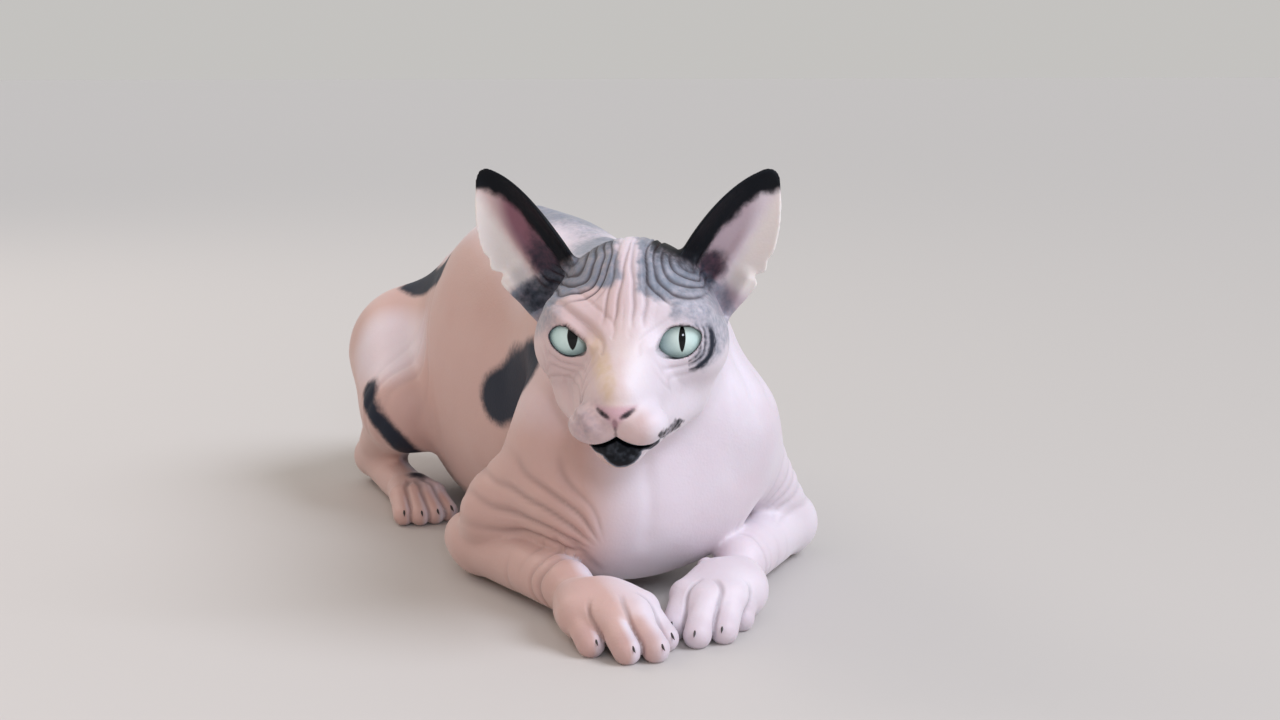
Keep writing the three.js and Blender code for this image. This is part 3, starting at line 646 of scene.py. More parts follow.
def new_material(name):
    m = bpy.data.materials.new(name)
    m.use_nodes = True
    m.node_tree.nodes.clear()
    return m, m.node_tree


def blend_colour(tree, factor, a, b):
    """Mixes colours a and b, each a socket or a code."""
    made = tree.nodes.new("ShaderNodeMix")
    made.data_type = "RGBA"
    for socket, value in ((made.inputs[0], factor), (made.inputs[6], a), (made.inputs[7], b)):
        if isinstance(value, bpy.types.NodeSocket):
            tree.links.new(value, socket)
        else:
            if isinstance(value, str):
                value = linear(value)
            socket.default_value = list(value) if hasattr(value, "__len__") else value
    return made.outputs[2]


def maths(tree, operation, a, b=0.0, clamp=False):
    made = node(tree, "ShaderNodeMath", {"operation": operation, "use_clamp": clamp}, i0=a, i1=b)
    return made.outputs[0]


MASKS = ("grey", "dark", "warm_and_shade", "mauve", "down", "crease_shade", "lip", "pad", "ochre")
# Real sizes of the skin's patterns, in millimetres.
BLOTCH_SIZE = 23.8  # blotches of blood under the skin
DOWN_SIZE = 2.38  # down at the edges of the patches, coarser than the real so that it shows
PORE_SIZE = 1.11  # pores, coarser than the real so that they show
CLAW_GRAIN = 3.33
FLOOR_GRAIN = 1000.0


def per_metre(size):
    """A pattern's scale in the shader, from its real size in millimetres."""
    return 1000 / size


def skin_material(look):
    """Warm bare skin: thin, a little see-through, creased, with a peach-like down that softens its shine."""
    m, tree = new_material("bare_skin")
    place = node(tree, "ShaderNodeTexCoord").outputs["Object"]
    mask = {}
    for name in MASKS:
        mask[name] = node(tree, "ShaderNodeAttribute", {"attribute_name": name}).outputs["Fac"]
    blood = dict(Scale=per_metre(BLOTCH_SIZE), Detail=3.0)
    blotch = node(tree, "ShaderNodeTexNoise", Vector=place, **blood).outputs[0]
    fuzz = dict(Scale=per_metre(DOWN_SIZE), Detail=4.0, Roughness=0.6)
    fine = node(tree, "ShaderNodeTexNoise", Vector=place, **fuzz).outputs[0]
    pores = node(tree, "ShaderNodeTexVoronoi", Vector=place, Scale=per_metre(PORE_SIZE)).outputs[0]
    colour = blend_colour(tree, maths(tree, "MULTIPLY", blotch, 0.7), look.pale, look.pink)
    # The warm tint is the skin's own on the whisker pad's smudge, and on the body partly painted shade on
    # the side away from the key light.
    tints = dict(warm_and_shade="#bb8c77", mauve="#7f5361", down="#e7e0dc", ochre="#c8ad88", pad="#c09aa2")
    for name, tint in tints.items():
        colour = blend_colour(tree, mask[name], colour, tint)
    ragged = maths(tree, "MULTIPLY", maths(tree, "SUBTRACT", fine, 0.5), 2.0)
    # Down makes the edge of each patch ragged.
    for name, tint in (("grey", look.patch), ("dark", look.dark), ("lip", "#090d14")):
        half_way = maths(tree, "MULTIPLY", mask[name], maths(tree, "SUBTRACT", 1.0, mask[name]))
        hard = maths(tree, "MULTIPLY", half_way, 2.2)
        edge = maths(tree, "ADD", mask[name], maths(tree, "MULTIPLY", ragged, hard), clamp=True)
        colour = blend_colour(tree, edge, colour, tint)
    # Creases, folds, toe clefts and the groove under the nose are painted darker: painted shade where the
    # skin folds in.
    deep = blend_colour(tree, 0.8, colour, "#2c1d24")
    colour = blend_colour(tree, maths(tree, "MULTIPLY", mask["crease_shade"], 0.9, clamp=True), colour, deep)
    # Black skin shines less than pale skin, or it would look grey.
    black = maths(tree, "MAXIMUM", mask["lip"], mask["dark"])
    bare = maths(tree, "SUBTRACT", 0.22, maths(tree, "MULTIPLY", black, 0.22))
    gloss = maths(tree, "SUBTRACT", 0.38, maths(tree, "MULTIPLY", black, 0.24))
    height = maths(tree, "ADD", maths(tree, "MULTIPLY", fine, 0.6), maths(tree, "MULTIPLY", pores, 0.4))
    bump = node(tree, "ShaderNodeBump", Strength=0.35, Distance=0.0003, Height=height).outputs[0]
    shader = node(tree, "ShaderNodeBsdfPrincipled", Base_Color=colour, Normal=bump, Sheen_Weight=bare,
                  Specular_IOR_Level=gloss)
    flesh_glow = {"Subsurface Weight": 0.08, "Subsurface Scale": 0.004}
    for key, value in {"Roughness": 0.5, "Sheen Roughness": 0.45, **flesh_glow}.items():
        shader.inputs[key].default_value = value
    shader.inputs["Subsurface Radius"].default_value = (1.0, 0.35, 0.2)
    node(tree, "ShaderNodeOutputMaterial", Surface=shader.outputs[0])
    return m


# The pupil's half height and, for each side, half width, as shares of the eyeball's radius.
PUPIL_HALF_HEIGHT = 0.52
PUPIL_HALF_WIDTH = {1: 0.13, -1: 0.2}


def eye_material(look, wide):
    """A cat's eye: pale green iris with radial threads, an upright slit of a pupil and a wet clear coat."""
    m, tree = new_material("cat_eye")
    place = node(tree, "ShaderNodeTexCoord").outputs["Object"]
    part = node(tree, "ShaderNodeSeparateXYZ", Vector=place).outputs
    x, y = (maths(tree, "DIVIDE", part[i], EYE_RADIUS / 1000) for i in (0, 1))
    squares = [maths(tree, "MULTIPLY", v, v) for v in (x, y)]
    r = maths(tree, "SQRT", maths(tree, "ADD", *squares))
    angle = maths(tree, "ARCTAN2", y, x)
    around, outward = maths(tree, "MULTIPLY", angle, 7.0), maths(tree, "MULTIPLY", r, 2.0)
    ring = node(tree, "ShaderNodeCombineXYZ", X=around, Y=outward).outputs[0]
    weave = dict(Scale=2.2, Detail=5.0, Roughness=0.65)
    threads = node(tree, "ShaderNodeTexNoise", Vector=ring, **weave).outputs[0]
    ramp = node(tree, "ShaderNodeMapRange", i0=r, i1=0.2, i2=0.8).outputs[0]
    iris = blend_colour(tree, ramp, look.iris, "#a6cac6")
    iris = blend_colour(tree, maths(tree, "MULTIPLY", threads, 0.55), iris, "#dfeee8")
    rim = node(tree, "ShaderNodeMapRange", i0=r, i1=0.97, i2=1.02).outputs[0]
    colour = blend_colour(tree, rim, iris, "#33443d")
    shares = [maths(tree, "DIVIDE", v, half) for v, half in ((x, wide), (y, PUPIL_HALF_HEIGHT))]
    slit = maths(tree, "ADD", *[maths(tree, "POWER", maths(tree, "ABSOLUTE", v), 1.6) for v in shares])
    pupil = node(tree, "ShaderNodeMapRange", i0=slit, i1=1.12, i2=0.95).outputs[0]
    colour = blend_colour(tree, pupil, colour, "#050608")
    shader = node(tree, "ShaderNodeBsdfPrincipled", Base_Color=colour)
    # The tear film over the cornea is what shines, with water's and cornea's IOR.
    film = {"Coat Weight": 1.0, "Coat Roughness": 0.02, "Coat IOR": 1.36}
    for key, value in {"Roughness": 0.35, "Specular IOR Level": 0.0, **film}.items():
        shader.inputs[key].default_value = value
    node(tree, "ShaderNodeOutputMaterial", Surface=shader.outputs[0])
    return m


def plain_material(name, code, roughness, grain, depth):
    """One even matter whose colour drifts a little over a grain in millimetres."""
    m, tree = new_material(name)
    place = node(tree, "ShaderNodeTexCoord").outputs["Object"]
    drift = node(tree, "ShaderNodeTexNoise", Vector=place, Scale=per_metre(grain), Detail=3.0).outputs[0]
    base = linear(code) if isinstance(code, str) else list(code)
    darker = [c * 0.7 for c in base[:3]] + [1]
    colour = blend_colour(tree, maths(tree, "MULTIPLY", drift, depth * 4), base, darker)
    shader = node(tree, "ShaderNodeBsdfPrincipled", Base_Color=colour, Roughness=roughness)
    node(tree, "ShaderNodeOutputMaterial", Surface=shader.outputs[0])
    return m


# THE HEAD'S MARKS
# The face's plane is seen from in front and a little above: a across it to the cat's left, b up it.
VIEW_AWAY = 676.0
LEAN_ACROSS, LEAN_UP = 0.11, 0.155
LEFT_PATCH = [
    (4.6, 44), (4.9, 37.1), (5.2, 28), (5.6, 19.4), (12.3, 16), (17.5, 14.5), (16.8, 9), (20, 7.2),
    (26, 8.2), (30.5, 4), (30.2, -3), (27.6, -8.5), (30.5, -12.5), (34.5, -8), (38, -4), (40.5, 1),
    (43, 9), (38, 22), (24, 34), (22, 44),
]
RIGHT_PATCH = [
    (-2.6, 44), (-2.7, 37.1), (-2.0, 24.8), (-5.4, 21), (-16.3, 19.6), (-23, 16.4), (-30, 11), (-37, 7),
    (-46, 8), (-46, 22), (-30, 30), (-24, 44),
]
RING_SPACING = 3.3
UPRIGHT_SPACING = 4.4
STREAK_SPACING = 1.75
# Under each eye: how far each fold lies from the lids and how deep it is, then where its ends fade.
EYE_FOLDS = {
    1: (((3.4, 0.6), (6.8, 0.3)), (11, 3)),
    -1: (((3.6, 0.8), (6.6, 0.6), (10.2, 0.5)), (15, 6)),
}
# Each brow: outer end, inner end, and share of its height.
BROWS = (((27, 9.5), (11.5, -1), 1.0), ((22, 15), (7.5, 5), 0.55))
BROW_HEIGHT = {1: 0.7, -1: 1.5}
MUZZLE_FOLD = ((-15.7, -7.2), (-22.9, -17.9), (-20.8, -29.3), (-15, -39.4))
MUZZLE_DEPTH = {1: 0.35, -1: 0.9}
# Lobes of the black chin: centre and half sizes on the face's plane.
CHIN_LOBES = ((-0.9, -42.6, 7.6, 7.4), (-8.4, -41, 4.6, 4.2), (6.5, -39.6, 7, 3.6))
MOUTH_CORNER = V(21.5, -31.5), V(15, -37.3)
NOSE_PAD = [(-7.8, -20.8), (7.8, -20.8), (0, -29)]


def face_plane(s, f, u):
    near = VIEW_AWAY / (VIEW_AWAY - f)
    return (s - LEAN_ACROSS * f) * near, (u - LEAN_UP * f) * near


def head_places(p):
    """Points of the skin in the head's frame, on the face's plane and on each ear."""
    s, f, u = to_head(*p.T)
    a, b = face_plane(s, f, u)
    ears = [(side, *ear_place(side, s, f, u)) for side in (1, -1)]
    on_ear = np.max([smoothstep(4, 9, t) * (side * s > 12) for side, _, t, _ in ears], axis=0)
    ragged = noise(p, 5, 3) * 1.4 + noise(p, 1.7, 4) * 0.5
    return SimpleNamespace(
        p=p, s=s, f=f, u=u, a=a, b=b, ears=ears, on_ear=on_ear, ragged=ragged,
        face=np.stack([a, b], 1), front=np.stack([s, u], 1),
    )


def ripple(phase):
    """A wave between 0 and 1."""
    return 0.5 + 0.5 * np.cos(phase)


def ridge_line(off, wide):
    """1 on a line, falling to 0 beside it."""
    return np.exp(-((off / wide) ** 2))


def grey_patches(h):
    fore = smoothstep(-66, -48, h.f) * (1 - h.on_ear)
    left = smoothstep(1.8, -1.8, polygon(h.a, h.b, LEFT_PATCH) + h.ragged) * fore
    left = left * (0.66 + 0.34 * smoothstep(8, 24, h.u))
    right = smoothstep(1.8, -1.8, polygon(h.a, h.b, RIGHT_PATCH) + h.ragged) * fore
    return np.maximum(left, right) * (h.u > -14) * (0.86 + 0.14 * noise(h.p, 3, 14))


def eye_streaks(h):
    """Dark streaks that curve round the outer side of the left eye."""
    r = np.hypot(h.a - 21.3, h.b - 0.4) + h.ragged * 0.25
    lines = ripple(2 * np.pi * r / STREAK_SPACING + noise(h.p, 2.4, 19) * 1.6)
    lines = np.maximum(lines * (0.8 + 0.3 * noise(h.p, 1.4, 35)), smoothstep(1.4, 0.5, np.abs(r - 13)))
    streaks = smoothstep(4.2, 2.6, np.abs(r - 11.6)) * lines
    return streaks * (h.a > 25) * smoothstep(8, 4, h.b) * smoothstep(-13, -10, h.b) * (h.f > -40)


def forehead_rings(h, side):
    """Rings that open round an ear's inner root: painted shade in their folds, and lift."""
    r = np.hypot(h.s - side * 27, (h.u - 31) * 1.1) + noise(h.p, 9, 5) * 1.6
    wave = ripple(2 * np.pi * r / RING_SPACING)
    zone = smoothstep(25, 19, r) * smoothstep(5, 8, r) * (h.f > -62) * (1 - h.on_ear)
    zone = zone * smoothstep(3.0, 5.5, side * h.s) * smoothstep(12, 18, h.u)
    if side > 0:
        zone = zone * smoothstep(33, 27, h.s)
    return 1.3 * zone * wave**5, -zone * wave**3 * 0.8


def eye_folds(h, side):
    """Folds under an eye: painted shade in them, and lift."""
    out = np.abs(side * h.s - EYE_SPACING / 2)
    gap = lid_opening(side, h.s, h.u)
    folds, ends = EYE_FOLDS[side]
    zone = smoothstep(*ends, out) * ((gap > 1.5) & (h.u < 5) & (h.f > -26))
    crease_shade, lift = np.zeros_like(gap), np.zeros_like(gap)
    for far, deep in folds:
        arc = ridge_line(gap - far + noise(h.p, 6, 8) * 0.7, 0.75) * zone
        lift -= arc * deep * smoothstep(4, -4, h.u)
        crease_shade = np.maximum(crease_shade, arc * 0.12 * smoothstep(2, -4, h.u))
    return crease_shade, lift


def brow_folds(h, side):
    """The brow folds down over the inner corner of the eye, deepest on the cat's right."""
    out = side * h.s
    zone = (h.f > -24) * (out > 0)
    lift = np.zeros_like(out)
    for (sa, ua), (sb, ub), share in BROWS:
        high = BROW_HEIGHT[side] * share
        ds, du = sb - sa, ub - ua
        t = np.clip(((out - sa) * ds + (h.u - ua) * du) / (ds * ds + du * du), 0, 1)
        off = np.hypot(out - sa - t * ds, h.u - ua - t * du)
        above = h.u > ua + (out - sa) * du / ds
        lift += high * zone * (ridge_line(off, 2.3) - 0.5 * ridge_line(off - 4.6, 0.9) * above)
    return lift


def muzzle_fold(h, side):
    """A fold that runs from the inner corner of an eye down round the muzzle."""
    near = np.full(len(h.p), 99.0)
    for (ax, bx), (cx, dx) in zip(MUZZLE_FOLD, MUZZLE_FOLD[1:]):
        da, db = cx - ax, dx - bx
        t = np.clip(((-side * h.a - ax) * da + (h.b - bx) * db) / (da**2 + db**2), 0, 1)
        near = np.minimum(near, np.hypot(-side * h.a - ax - t * da, h.b - bx - t * db))
    return ridge_line(near + noise(h.p, 7, 15) * 0.8, 1.5) * (h.f > -24) * MUZZLE_DEPTH[side]


def head_folds(h):
    """Lift of every fold of the head, and the painted shade that darkens its folds."""
    crease_shade, lift = np.zeros(len(h.p)), np.zeros(len(h.p))
    for side in (1, -1):
        for marks in (forehead_rings(h, side), eye_folds(h, side)):
            crease_shade = np.maximum(crease_shade, marks[0])
            lift += marks[1]
        lift += brow_folds(h, side)
        fold = muzzle_fold(h, side)
        lift -= fold
        crease_shade = np.maximum(crease_shade, fold * 0.1)
    # Uprights on the pale blaze between the forehead's rings.
    phase = h.s - 1 + 0.10 * h.u * np.sign(h.s) + noise(h.p, 8, 6) * 1.3
    wave = ripple(2 * np.pi * phase / UPRIGHT_SPACING)
    zone = smoothstep(13, 7, np.abs(h.s - 1)) * (h.f > -50)
    zone = zone * smoothstep(4, 12, h.u) * smoothstep(46, 30, h.u)
    return np.maximum(crease_shade, zone * wave**5 * 0.34), lift - zone * wave**3 * 0.9


def ear_marks(h, normals):
    """Black rim, mauve lining, pale fringe of down that is partly a painted highlight, and the canal of both
    ears, painted dark as painted shade.
    """
    black, inner, fringe, canal = (np.zeros(len(h.p)) for _ in range(4))
    for side, x, t, _ in h.ears:
        out = side * h.s
        by_ear = np.abs(out - 42) < 34
        from_edge = INNER_EDGE[2] - np.hypot(x - INNER_EDGE[0], t - INNER_EDGE[1])
        from_edge = from_edge + h.ragged * 0.9 + 1.5 * smoothstep(20, 50, t)
        rim = smoothstep(13.5, 9.5, from_edge) * smoothstep(1, 8, t)
        tip = smoothstep(47, 51, t + h.ragged * 0.8 - 0.3 * x)
        black = np.maximum(black, (by_ear & (t > 0)) * np.maximum(rim, tip))
        _, _, opens, _ = ear_frame(side)
        faces = normals @ (SIDE * opens[0] + FACE * opens[1] + V(0, 0, opens[2]))
        within = by_ear & (t > -6) & (faces > 0)
        lining = within * smoothstep(1.25, 0.6, np.hypot((x + 3) / 9.5, (t - 23) / 25))
        root = within * smoothstep(1.3, 0.6, np.hypot((x - 8) / 9, (t + 1) / 7))
        deep, low, sooty = (0.5, 0.5, 0) if side > 0 else (1, 0.8, 0.75)
        inner = np.maximum(inner, np.maximum(lining * deep, root * low))
        black = np.maximum(black, root * sooty * (0.8 + 0.2 * noise(h.p, 2, 16)))
        # The pale fringe is partly down and partly a painted highlight where the cup's edge is lit.
        edge_down = within * smoothstep(5, 10, x + h.ragged * 0.4) * smoothstep(2, 9, t)
        fringe = np.maximum(fringe, 0.9 * edge_down)
        # The canal is painted dark maroon: painted shade in the ear's opening.
        x0, t0, wide, high = (-1, 8, 6.5, 9) if side > 0 else (-1.6, 10, 7.5, 13)
        pit = smoothstep(1.3, 0.5, np.hypot((x - x0) / wide, (t - t0) / high) + h.ragged * 0.08)
        canal = np.maximum(canal, (np.abs(out - 40) < 30) * pit)
    return black, inner, fringe, canal


def lid_rims(h):
    """Dark bare rims of the lids, paler at the inner corners."""
    rims = np.zeros(len(h.p))
    for side in (1, -1):
        out = side * h.s - EYE_SPACING / 2
        near = (side * h.s > 0) & (h.f > -14) & (np.abs(out) < 14)
        c = eye_centre(side)
        deep = np.sqrt((h.s - c[0]) ** 2 + (h.f - c[1]) ** 2 + (h.u - c[2]) ** 2) - EYE_RADIUS
        rim = smoothstep(0.55, 0.15, lid_opening(side, h.s, h.u) + noise(h.p, 2, 9) * 0.15)
        pale = (0.75 if side > 0 else 0.3) * smoothstep(-2, -6.5, out)
        rims = np.maximum(rims, near * rim * mix(0.45, 1, smoothstep(0.3, 0.7, deep)) * (1 - pale))
    return rims


def chin_and_lips(h):
    """The black chin with paler flecks, painted highlights on its wet skin, the mouth's line and the spot by
    its left corner.
    """
    above = h.u - mouth_height(h.s)
    lobes = [np.hypot((h.a - a) / ra, (h.b - b) / rb) for a, b, ra, rb in CHIN_LOBES]
    lobe = smooth_min(smooth_min(lobes[0], lobes[1], 0.2), lobes[2], 0.2)
    chin = smoothstep(0.8, -0.4, above - 0.6 + h.ragged * 0.25) * (h.f > 3)
    chin = chin * smoothstep(1.12, 0.96, lobe + h.ragged * 0.05)
    # The paler flecks in the chin's middle are painted highlights of its wet skin; they let the grey beneath
    # show.
    painted_highlight_specks = np.maximum(0, noise(h.p, 1.3, 17) + 0.25) * blob(h.face, (1.5, -43), (8, 4.5), 1.2)
    line = (np.abs(above) < 0.8) * (np.abs(h.s) < 11) * (h.f > 4)
    q, r = MOUTH_CORNER
    t = np.clip((h.face - q) @ (r - q) / ((r - q) @ (r - q)), 0, 1)
    off = np.hypot(h.a - q[0] + (q[0] - r[0]) * t, h.b - q[1] + (q[1] - r[1]) * t + np.sin(3 * t))
    spot = smoothstep(1.7, 0.9, off + noise(h.p, 2, 32) * 0.9) * (h.f > -12)
    spot = spot * (0.8 - 0.25 * noise(h.p, 1.2, 33))
    return chin > 0.1, np.max([chin * (1 - 0.28 * painted_highlight_specks), spot, line], axis=0)


def head_marks(p, normals):
    """Masks and folds of the head, at points of the body's frame."""
    h = head_places(p)
    crease_shade, lift = head_folds(h)
    black, inner, fringe, canal = ear_marks(h, normals)
    under_chin, lips = chin_and_lips(h)
    # The pink pad of the nose, the reddish notch and groove below it, and the nostrils; the groove is
    # painted darker and the nostrils' walls painted black, both painted shade.
    nose = smoothstep(1.2, -1.2, polygon(h.s, h.u, NOSE_PAD)) * smoothstep(18, 23, h.f) * 0.9
    notch = blob(h.front, (0, -27.2), (1.2, 2.4), 0.9) * (h.f > 20)
    groove = smoothstep(0.75, 0.25, np.abs(h.s)) * smoothstep(-35, -33, h.u) * smoothstep(-28, -29, h.u)
    crease_shade = np.maximum(crease_shade, groove * (h.f > 16) * 0.8)
    nostril = np.min([at(h.s, h.f, h.u) for at in NOSTRILS], axis=0)
    # The brown smudge on the right whisker pad, the ochre strip beside the bridge and the bridge's down.
    smudge = blob(h.face, (-14.5, -32), (8.5, 8.5), 1.1) * (h.f > 4)
    smudge = smudge * (0.55 + 0.3 * noise(p, 4, 12) + 0.2 * noise(p, 1.2, 34))
    strip = np.stack([h.a + 0.22 * (h.b + 11), h.b], 1)
    ochre = blob(strip, (-8.4, -12), (3.8, 13.5), 1.1) * (h.f > 0) * (0.7 + 0.35 * noise(p, 1.8, 13))
    down = blob(h.front, (2, -8), (9, 17), 0.9) * smoothstep(-6, 6, h.f) * (0.75 + 0.25 * noise(p, 4, 11))
    down = np.maximum(0, down) * (1 - nose) * (1 - 0.6 * ochre)
    under_ear = blob(h.face, (-36, 11), (10, 9), 0.9) * (h.f > -45) * 0.64
    marks = dict(
        grey=np.max([grey_patches(h), under_chin, under_ear, smudge * 0.3], axis=0),
        # The canal's dark and mauve are painted shade in each ear's opening.
        dark=np.maximum(eye_streaks(h), canal * (inner > 0.03) * 0.8),
        warm_and_shade=smudge * 0.6,
        mauve=np.max([inner, canal, smudge * 0.4, notch * 0.8], axis=0),
        down=np.maximum(down * 0.35, fringe),
        crease_shade=crease_shade,
        lip=np.max([lips, smoothstep(0.45, -0.1, nostril), lid_rims(h), black], axis=0),
        pad=nose * (1 - 0.9 * notch),
        ochre=ochre * 0.75,
    )
    for name in ("grey", "warm_and_shade", "mauve", "ochre"):
        marks[name] = np.clip(marks[name], 0, 1)
    return marks, lift


# THE BODY'S MARKS
# Darker areas: lines with a half width, the flank's seen from the side only, and spots with half sizes.
FLANK_LINE, FLANK_HALF_WIDTH = (V(0, 14, 76), V(0, -34, 94)), 16
DARK_LINES = (
    ((V(-36, 168, 112), V(-34, 112, 126)), 9),  # the loin
    # A dark band down the front of the right thigh, along its edge against the flank.
    ((V(-77, 108, 66), V(-72, 98, 49), V(-62, 102, 34), V(-53, 112, 23)), 7),  # the right thigh
)
DARK_SPOTS = (((40, 60, 128), (30, 26, 20)), ((52, 150, 96), (18, 26, 22)))  # both on the left
# Where the folds over each upper arm fan from, and how deep they are.
ARM_FANS = ((-1, V(-22, -86, 24), 1.5), (1, V(56, -84, 22), 0.6))
# Rings round each forearm: how far behind the wrist, half width, depth.
WRIST_RINGS = ((2, 1.5, 1.0), (9, 1.3, 0.7), (19, 1.6, 0.5), (31, 1.6, 0.35))
NECK_FOLD_SPACING = 13
SPINE_BONE_SPACING = 12
SLACK_FOLD_SPACING = 9


def body_patches(p):
    """Dark and light grey patches, with edges that wander."""
    ragged = noise(p, 12, 21) * 3 + noise(p, 4, 22) * 1.2
    drift = np.stack([noise(p, 21, seed) for seed in (41, 42, 43)], 1)
    seen, unseen = p + drift * 4, p + drift * 11
    flank = segment_distance(seen * V(0, 1, 1), *FLANK_LINE) - FLANK_HALF_WIDTH + ragged * 0.35
    dark = smoothstep(3, -3, flank) * (p[:, 0] < -8)
    for line, wide in DARK_LINES:
        near = np.min([segment_distance(seen, q, r) for q, r in zip(line, line[1:])], axis=0)
        dark = np.maximum(dark, smoothstep(wide + 2.5, wide - 2.5, near + ragged * 0.5))
    for centre, radii in DARK_SPOTS:
        r = np.sqrt((((unseen - centre) / radii) ** 2).sum(1)) + ragged / 24
        dark = np.maximum(dark, smoothstep(1.10, 0.92, r))
    nape = blob(p, (8, -22, 146), (22, 30, 16), 0.7)
    return dark, np.maximum(nape, blob(unseen, (14, 62, 156), (34, 56, 18), 0.6)) * 0.85


def arm_folds(p, normals, side, hub, deep):
    """Loose skin gathers in folds that fan back over an upper arm from where chest and forearm meet."""
    x, y, z = p.T
    dx, dz = side * (x - hub[0]), z - hub[2]
    angle, r = np.arctan2(dz, np.maximum(dx, 1e-3)), np.hypot(dx, dz)
    wave = ripple(angle * 25 + r * 0.05 + noise(p, 15, 25) * 2.2)
    zone = smoothstep(6, 18, r) * smoothstep(60, 34, r)
    zone = zone * smoothstep(0.02, 0.2, angle) * smoothstep(1.5, 0.9, angle)
    zone = zone * (normals[:, 1] < 0.5) * smoothstep(4, -20, y) * (dx > 0) * (z > 20) * deep
    return zone * wave**5 * 0.3, -zone * wave**2


def wrist_folds(p, side):
    """Rings round a forearm, fuller on the right."""
    g = FORE[side]
    length = np.linalg.norm(g["wrist"] - g["elbow"])
    along = (g["wrist"] - g["elbow"]) / length
    t = (p - g["elbow"]) @ along
    off = np.linalg.norm((p - g["elbow"]) - np.outer(t, along), axis=1)
    part = (1 if side < 0 else 0.5) * smoothstep(21, 16, off) * smoothstep(-0.7, 0.3, noise(p, 16, 31))
    place = t - length + noise(p, 14, 26) * 3
    rings = [ridge_line(place + back, wide) * part * high for back, wide, high in WRIST_RINGS]
    return np.max(rings, axis=0) * 0.3, -np.sum(rings, axis=0)


def thigh_folds(p, side):
    """Slack folds before a thigh."""
    x, y, z = p.T
    reach = np.hypot(y - 168, (z - 66) * 1.15) + noise(p, 20, 44) * 4
    slack = smoothstep(92, 76, reach) * smoothstep(44, 56, reach) * smoothstep(140, 105, y)
    slack = slack * (side * x > 18) * (z > 24)
    wave = ripple(2 * np.pi * reach / SLACK_FOLD_SPACING)
    return slack * wave**6 * 0.08, -slack * wave**2 * 0.5


def trunk_lift(p):
    """The chest's middle groove, the neck's folds, the spine's bones, the rump's creases and unevenness."""
    x, y, z = p.T
    groove = ridge_line(x + 7 + noise(p, 20, 30) * 2, 3.5) * (y < -60)
    groove = groove * smoothstep(22, 34, z) * smoothstep(86, 60, z)
    neck = smoothstep(-30, -52, y) * smoothstep(70, 90, z) * smoothstep(150, 130, z)
    wave = ripple((x * 0.9 + y * 0.5) * 2 * np.pi / NECK_FOLD_SPACING + noise(p, 22, 27) * 2)
    cx, top = stations(y)[:2]
    spine = ridge_line(x - cx, 4.5) * smoothstep(16, 6, top - z)
    spine = spine * smoothstep(-30, -5, y) * smoothstep(205, 180, y)
    bones = spine * (0.7 + 0.4 * np.cos(2 * np.pi * y / SPINE_BONE_SPACING))
    rump = smoothstep(186, 204, y) * smoothstep(112, 92, z) * smoothstep(40, 60, z)
    rump = rump * ripple(z * 0.7 + noise(p, 14, 45) * 2) ** 2 * 0.6
    uneven = noise(p, 26, 28) * 0.5 + noise(p, 9, 29) * 0.12
    return bones + uneven - groove * 0.9 - neck * wave**2 * 0.9 - rump


def toe_clefts(p, joints, side, palm):
    """The clefts between neighbouring toes, and which points lie by the paw."""
    near = np.linalg.norm(p - palm, axis=1) < 52
    far = np.sort([segment_distance(p[near], *joints(side, i)[1:]) for i in range(4)], axis=0)
    return near, smoothstep(1.9, 0.2, far[1] - far[0]) * smoothstep(11, 8.5, far[0])


def body_marks(p, normals):
    """Masks and folds of the body."""
    dark, grey = body_patches(p)
    # The right side is warmer, partly from blood under the skin and partly painted shade on the side that
    # faces away from the key light, and pale again over the thigh, a painted highlight.
    warm_and_shade = 0.9 * smoothstep(0.5, -0.35, normals[:, 0] + 0.2 * noise(p, 24, 24))
    warm_and_shade = warm_and_shade * smoothstep(-10, -42, p[:, 0])
    # Over the right thigh the warm tint is taken off so the pale skin shows: a painted highlight where light
    # falls on the hip.
    warm_and_shade = warm_and_shade * (1 - 0.8 * blob(p, (-66, 126, 88), (26, 34, 26), 0.9))
    crease_shade, lift = np.zeros(len(p)), trunk_lift(p)
    folds = [arm_folds(p, normals, *fan) for fan in ARM_FANS]
    folds += [make(p, side) for make in (wrist_folds, thigh_folds) for side in (1, -1)]
    # Each fold brings painted shade for its crease and a lift of the skin.
    for fold_crease_shade, fold_lift in folds:
        crease_shade = np.maximum(crease_shade, fold_crease_shade)
        lift += fold_lift
    mauve = np.zeros(len(p))
    for side in (1, -1):
        for i in range(4):
            mauve = np.maximum(mauve, 0.22 * blob(p, toe_joints(side, i)[2], (6, 6, 7), 0.9))
        for joints, palm in ((toe_joints, paw_axis(side)[2]), (hind_toe, HIND[side][3] + V(0, 30, 4))):
            near, cleft = toe_clefts(p, joints, side, palm)
            # The clefts between toes are sunk and painted darker: painted shade between them.
            lift[near] -= cleft * 0.9
            crease_shade[near] = np.maximum(crease_shade[near], cleft * 0.42)
    return dict(grey=grey, dark=dark, warm_and_shade=np.clip(warm_and_shade, 0, 0.72), mauve=mauve, crease_shade=crease_shade), lift


# THE SKIN
def normals_of(points, quads):
    n = np.zeros_like(points)
    p = points[quads]
    face = np.cross(p[:, 2] - p[:, 0], p[:, 3] - p[:, 1])
    for c in range(4):
        for k in range(3):
            n[:, k] += np.bincount(quads[:, c], face[:, k], len(points))
    return n / (np.linalg.norm(n, axis=1)[:, None] + 1e-12)


# The grid's reach and, between its inner values, the finer part over the head, in millimetres.
GRID = ((-98, 110, -86, 48), (-168, 262, -162, -62), (-3, 192, 70, 188))


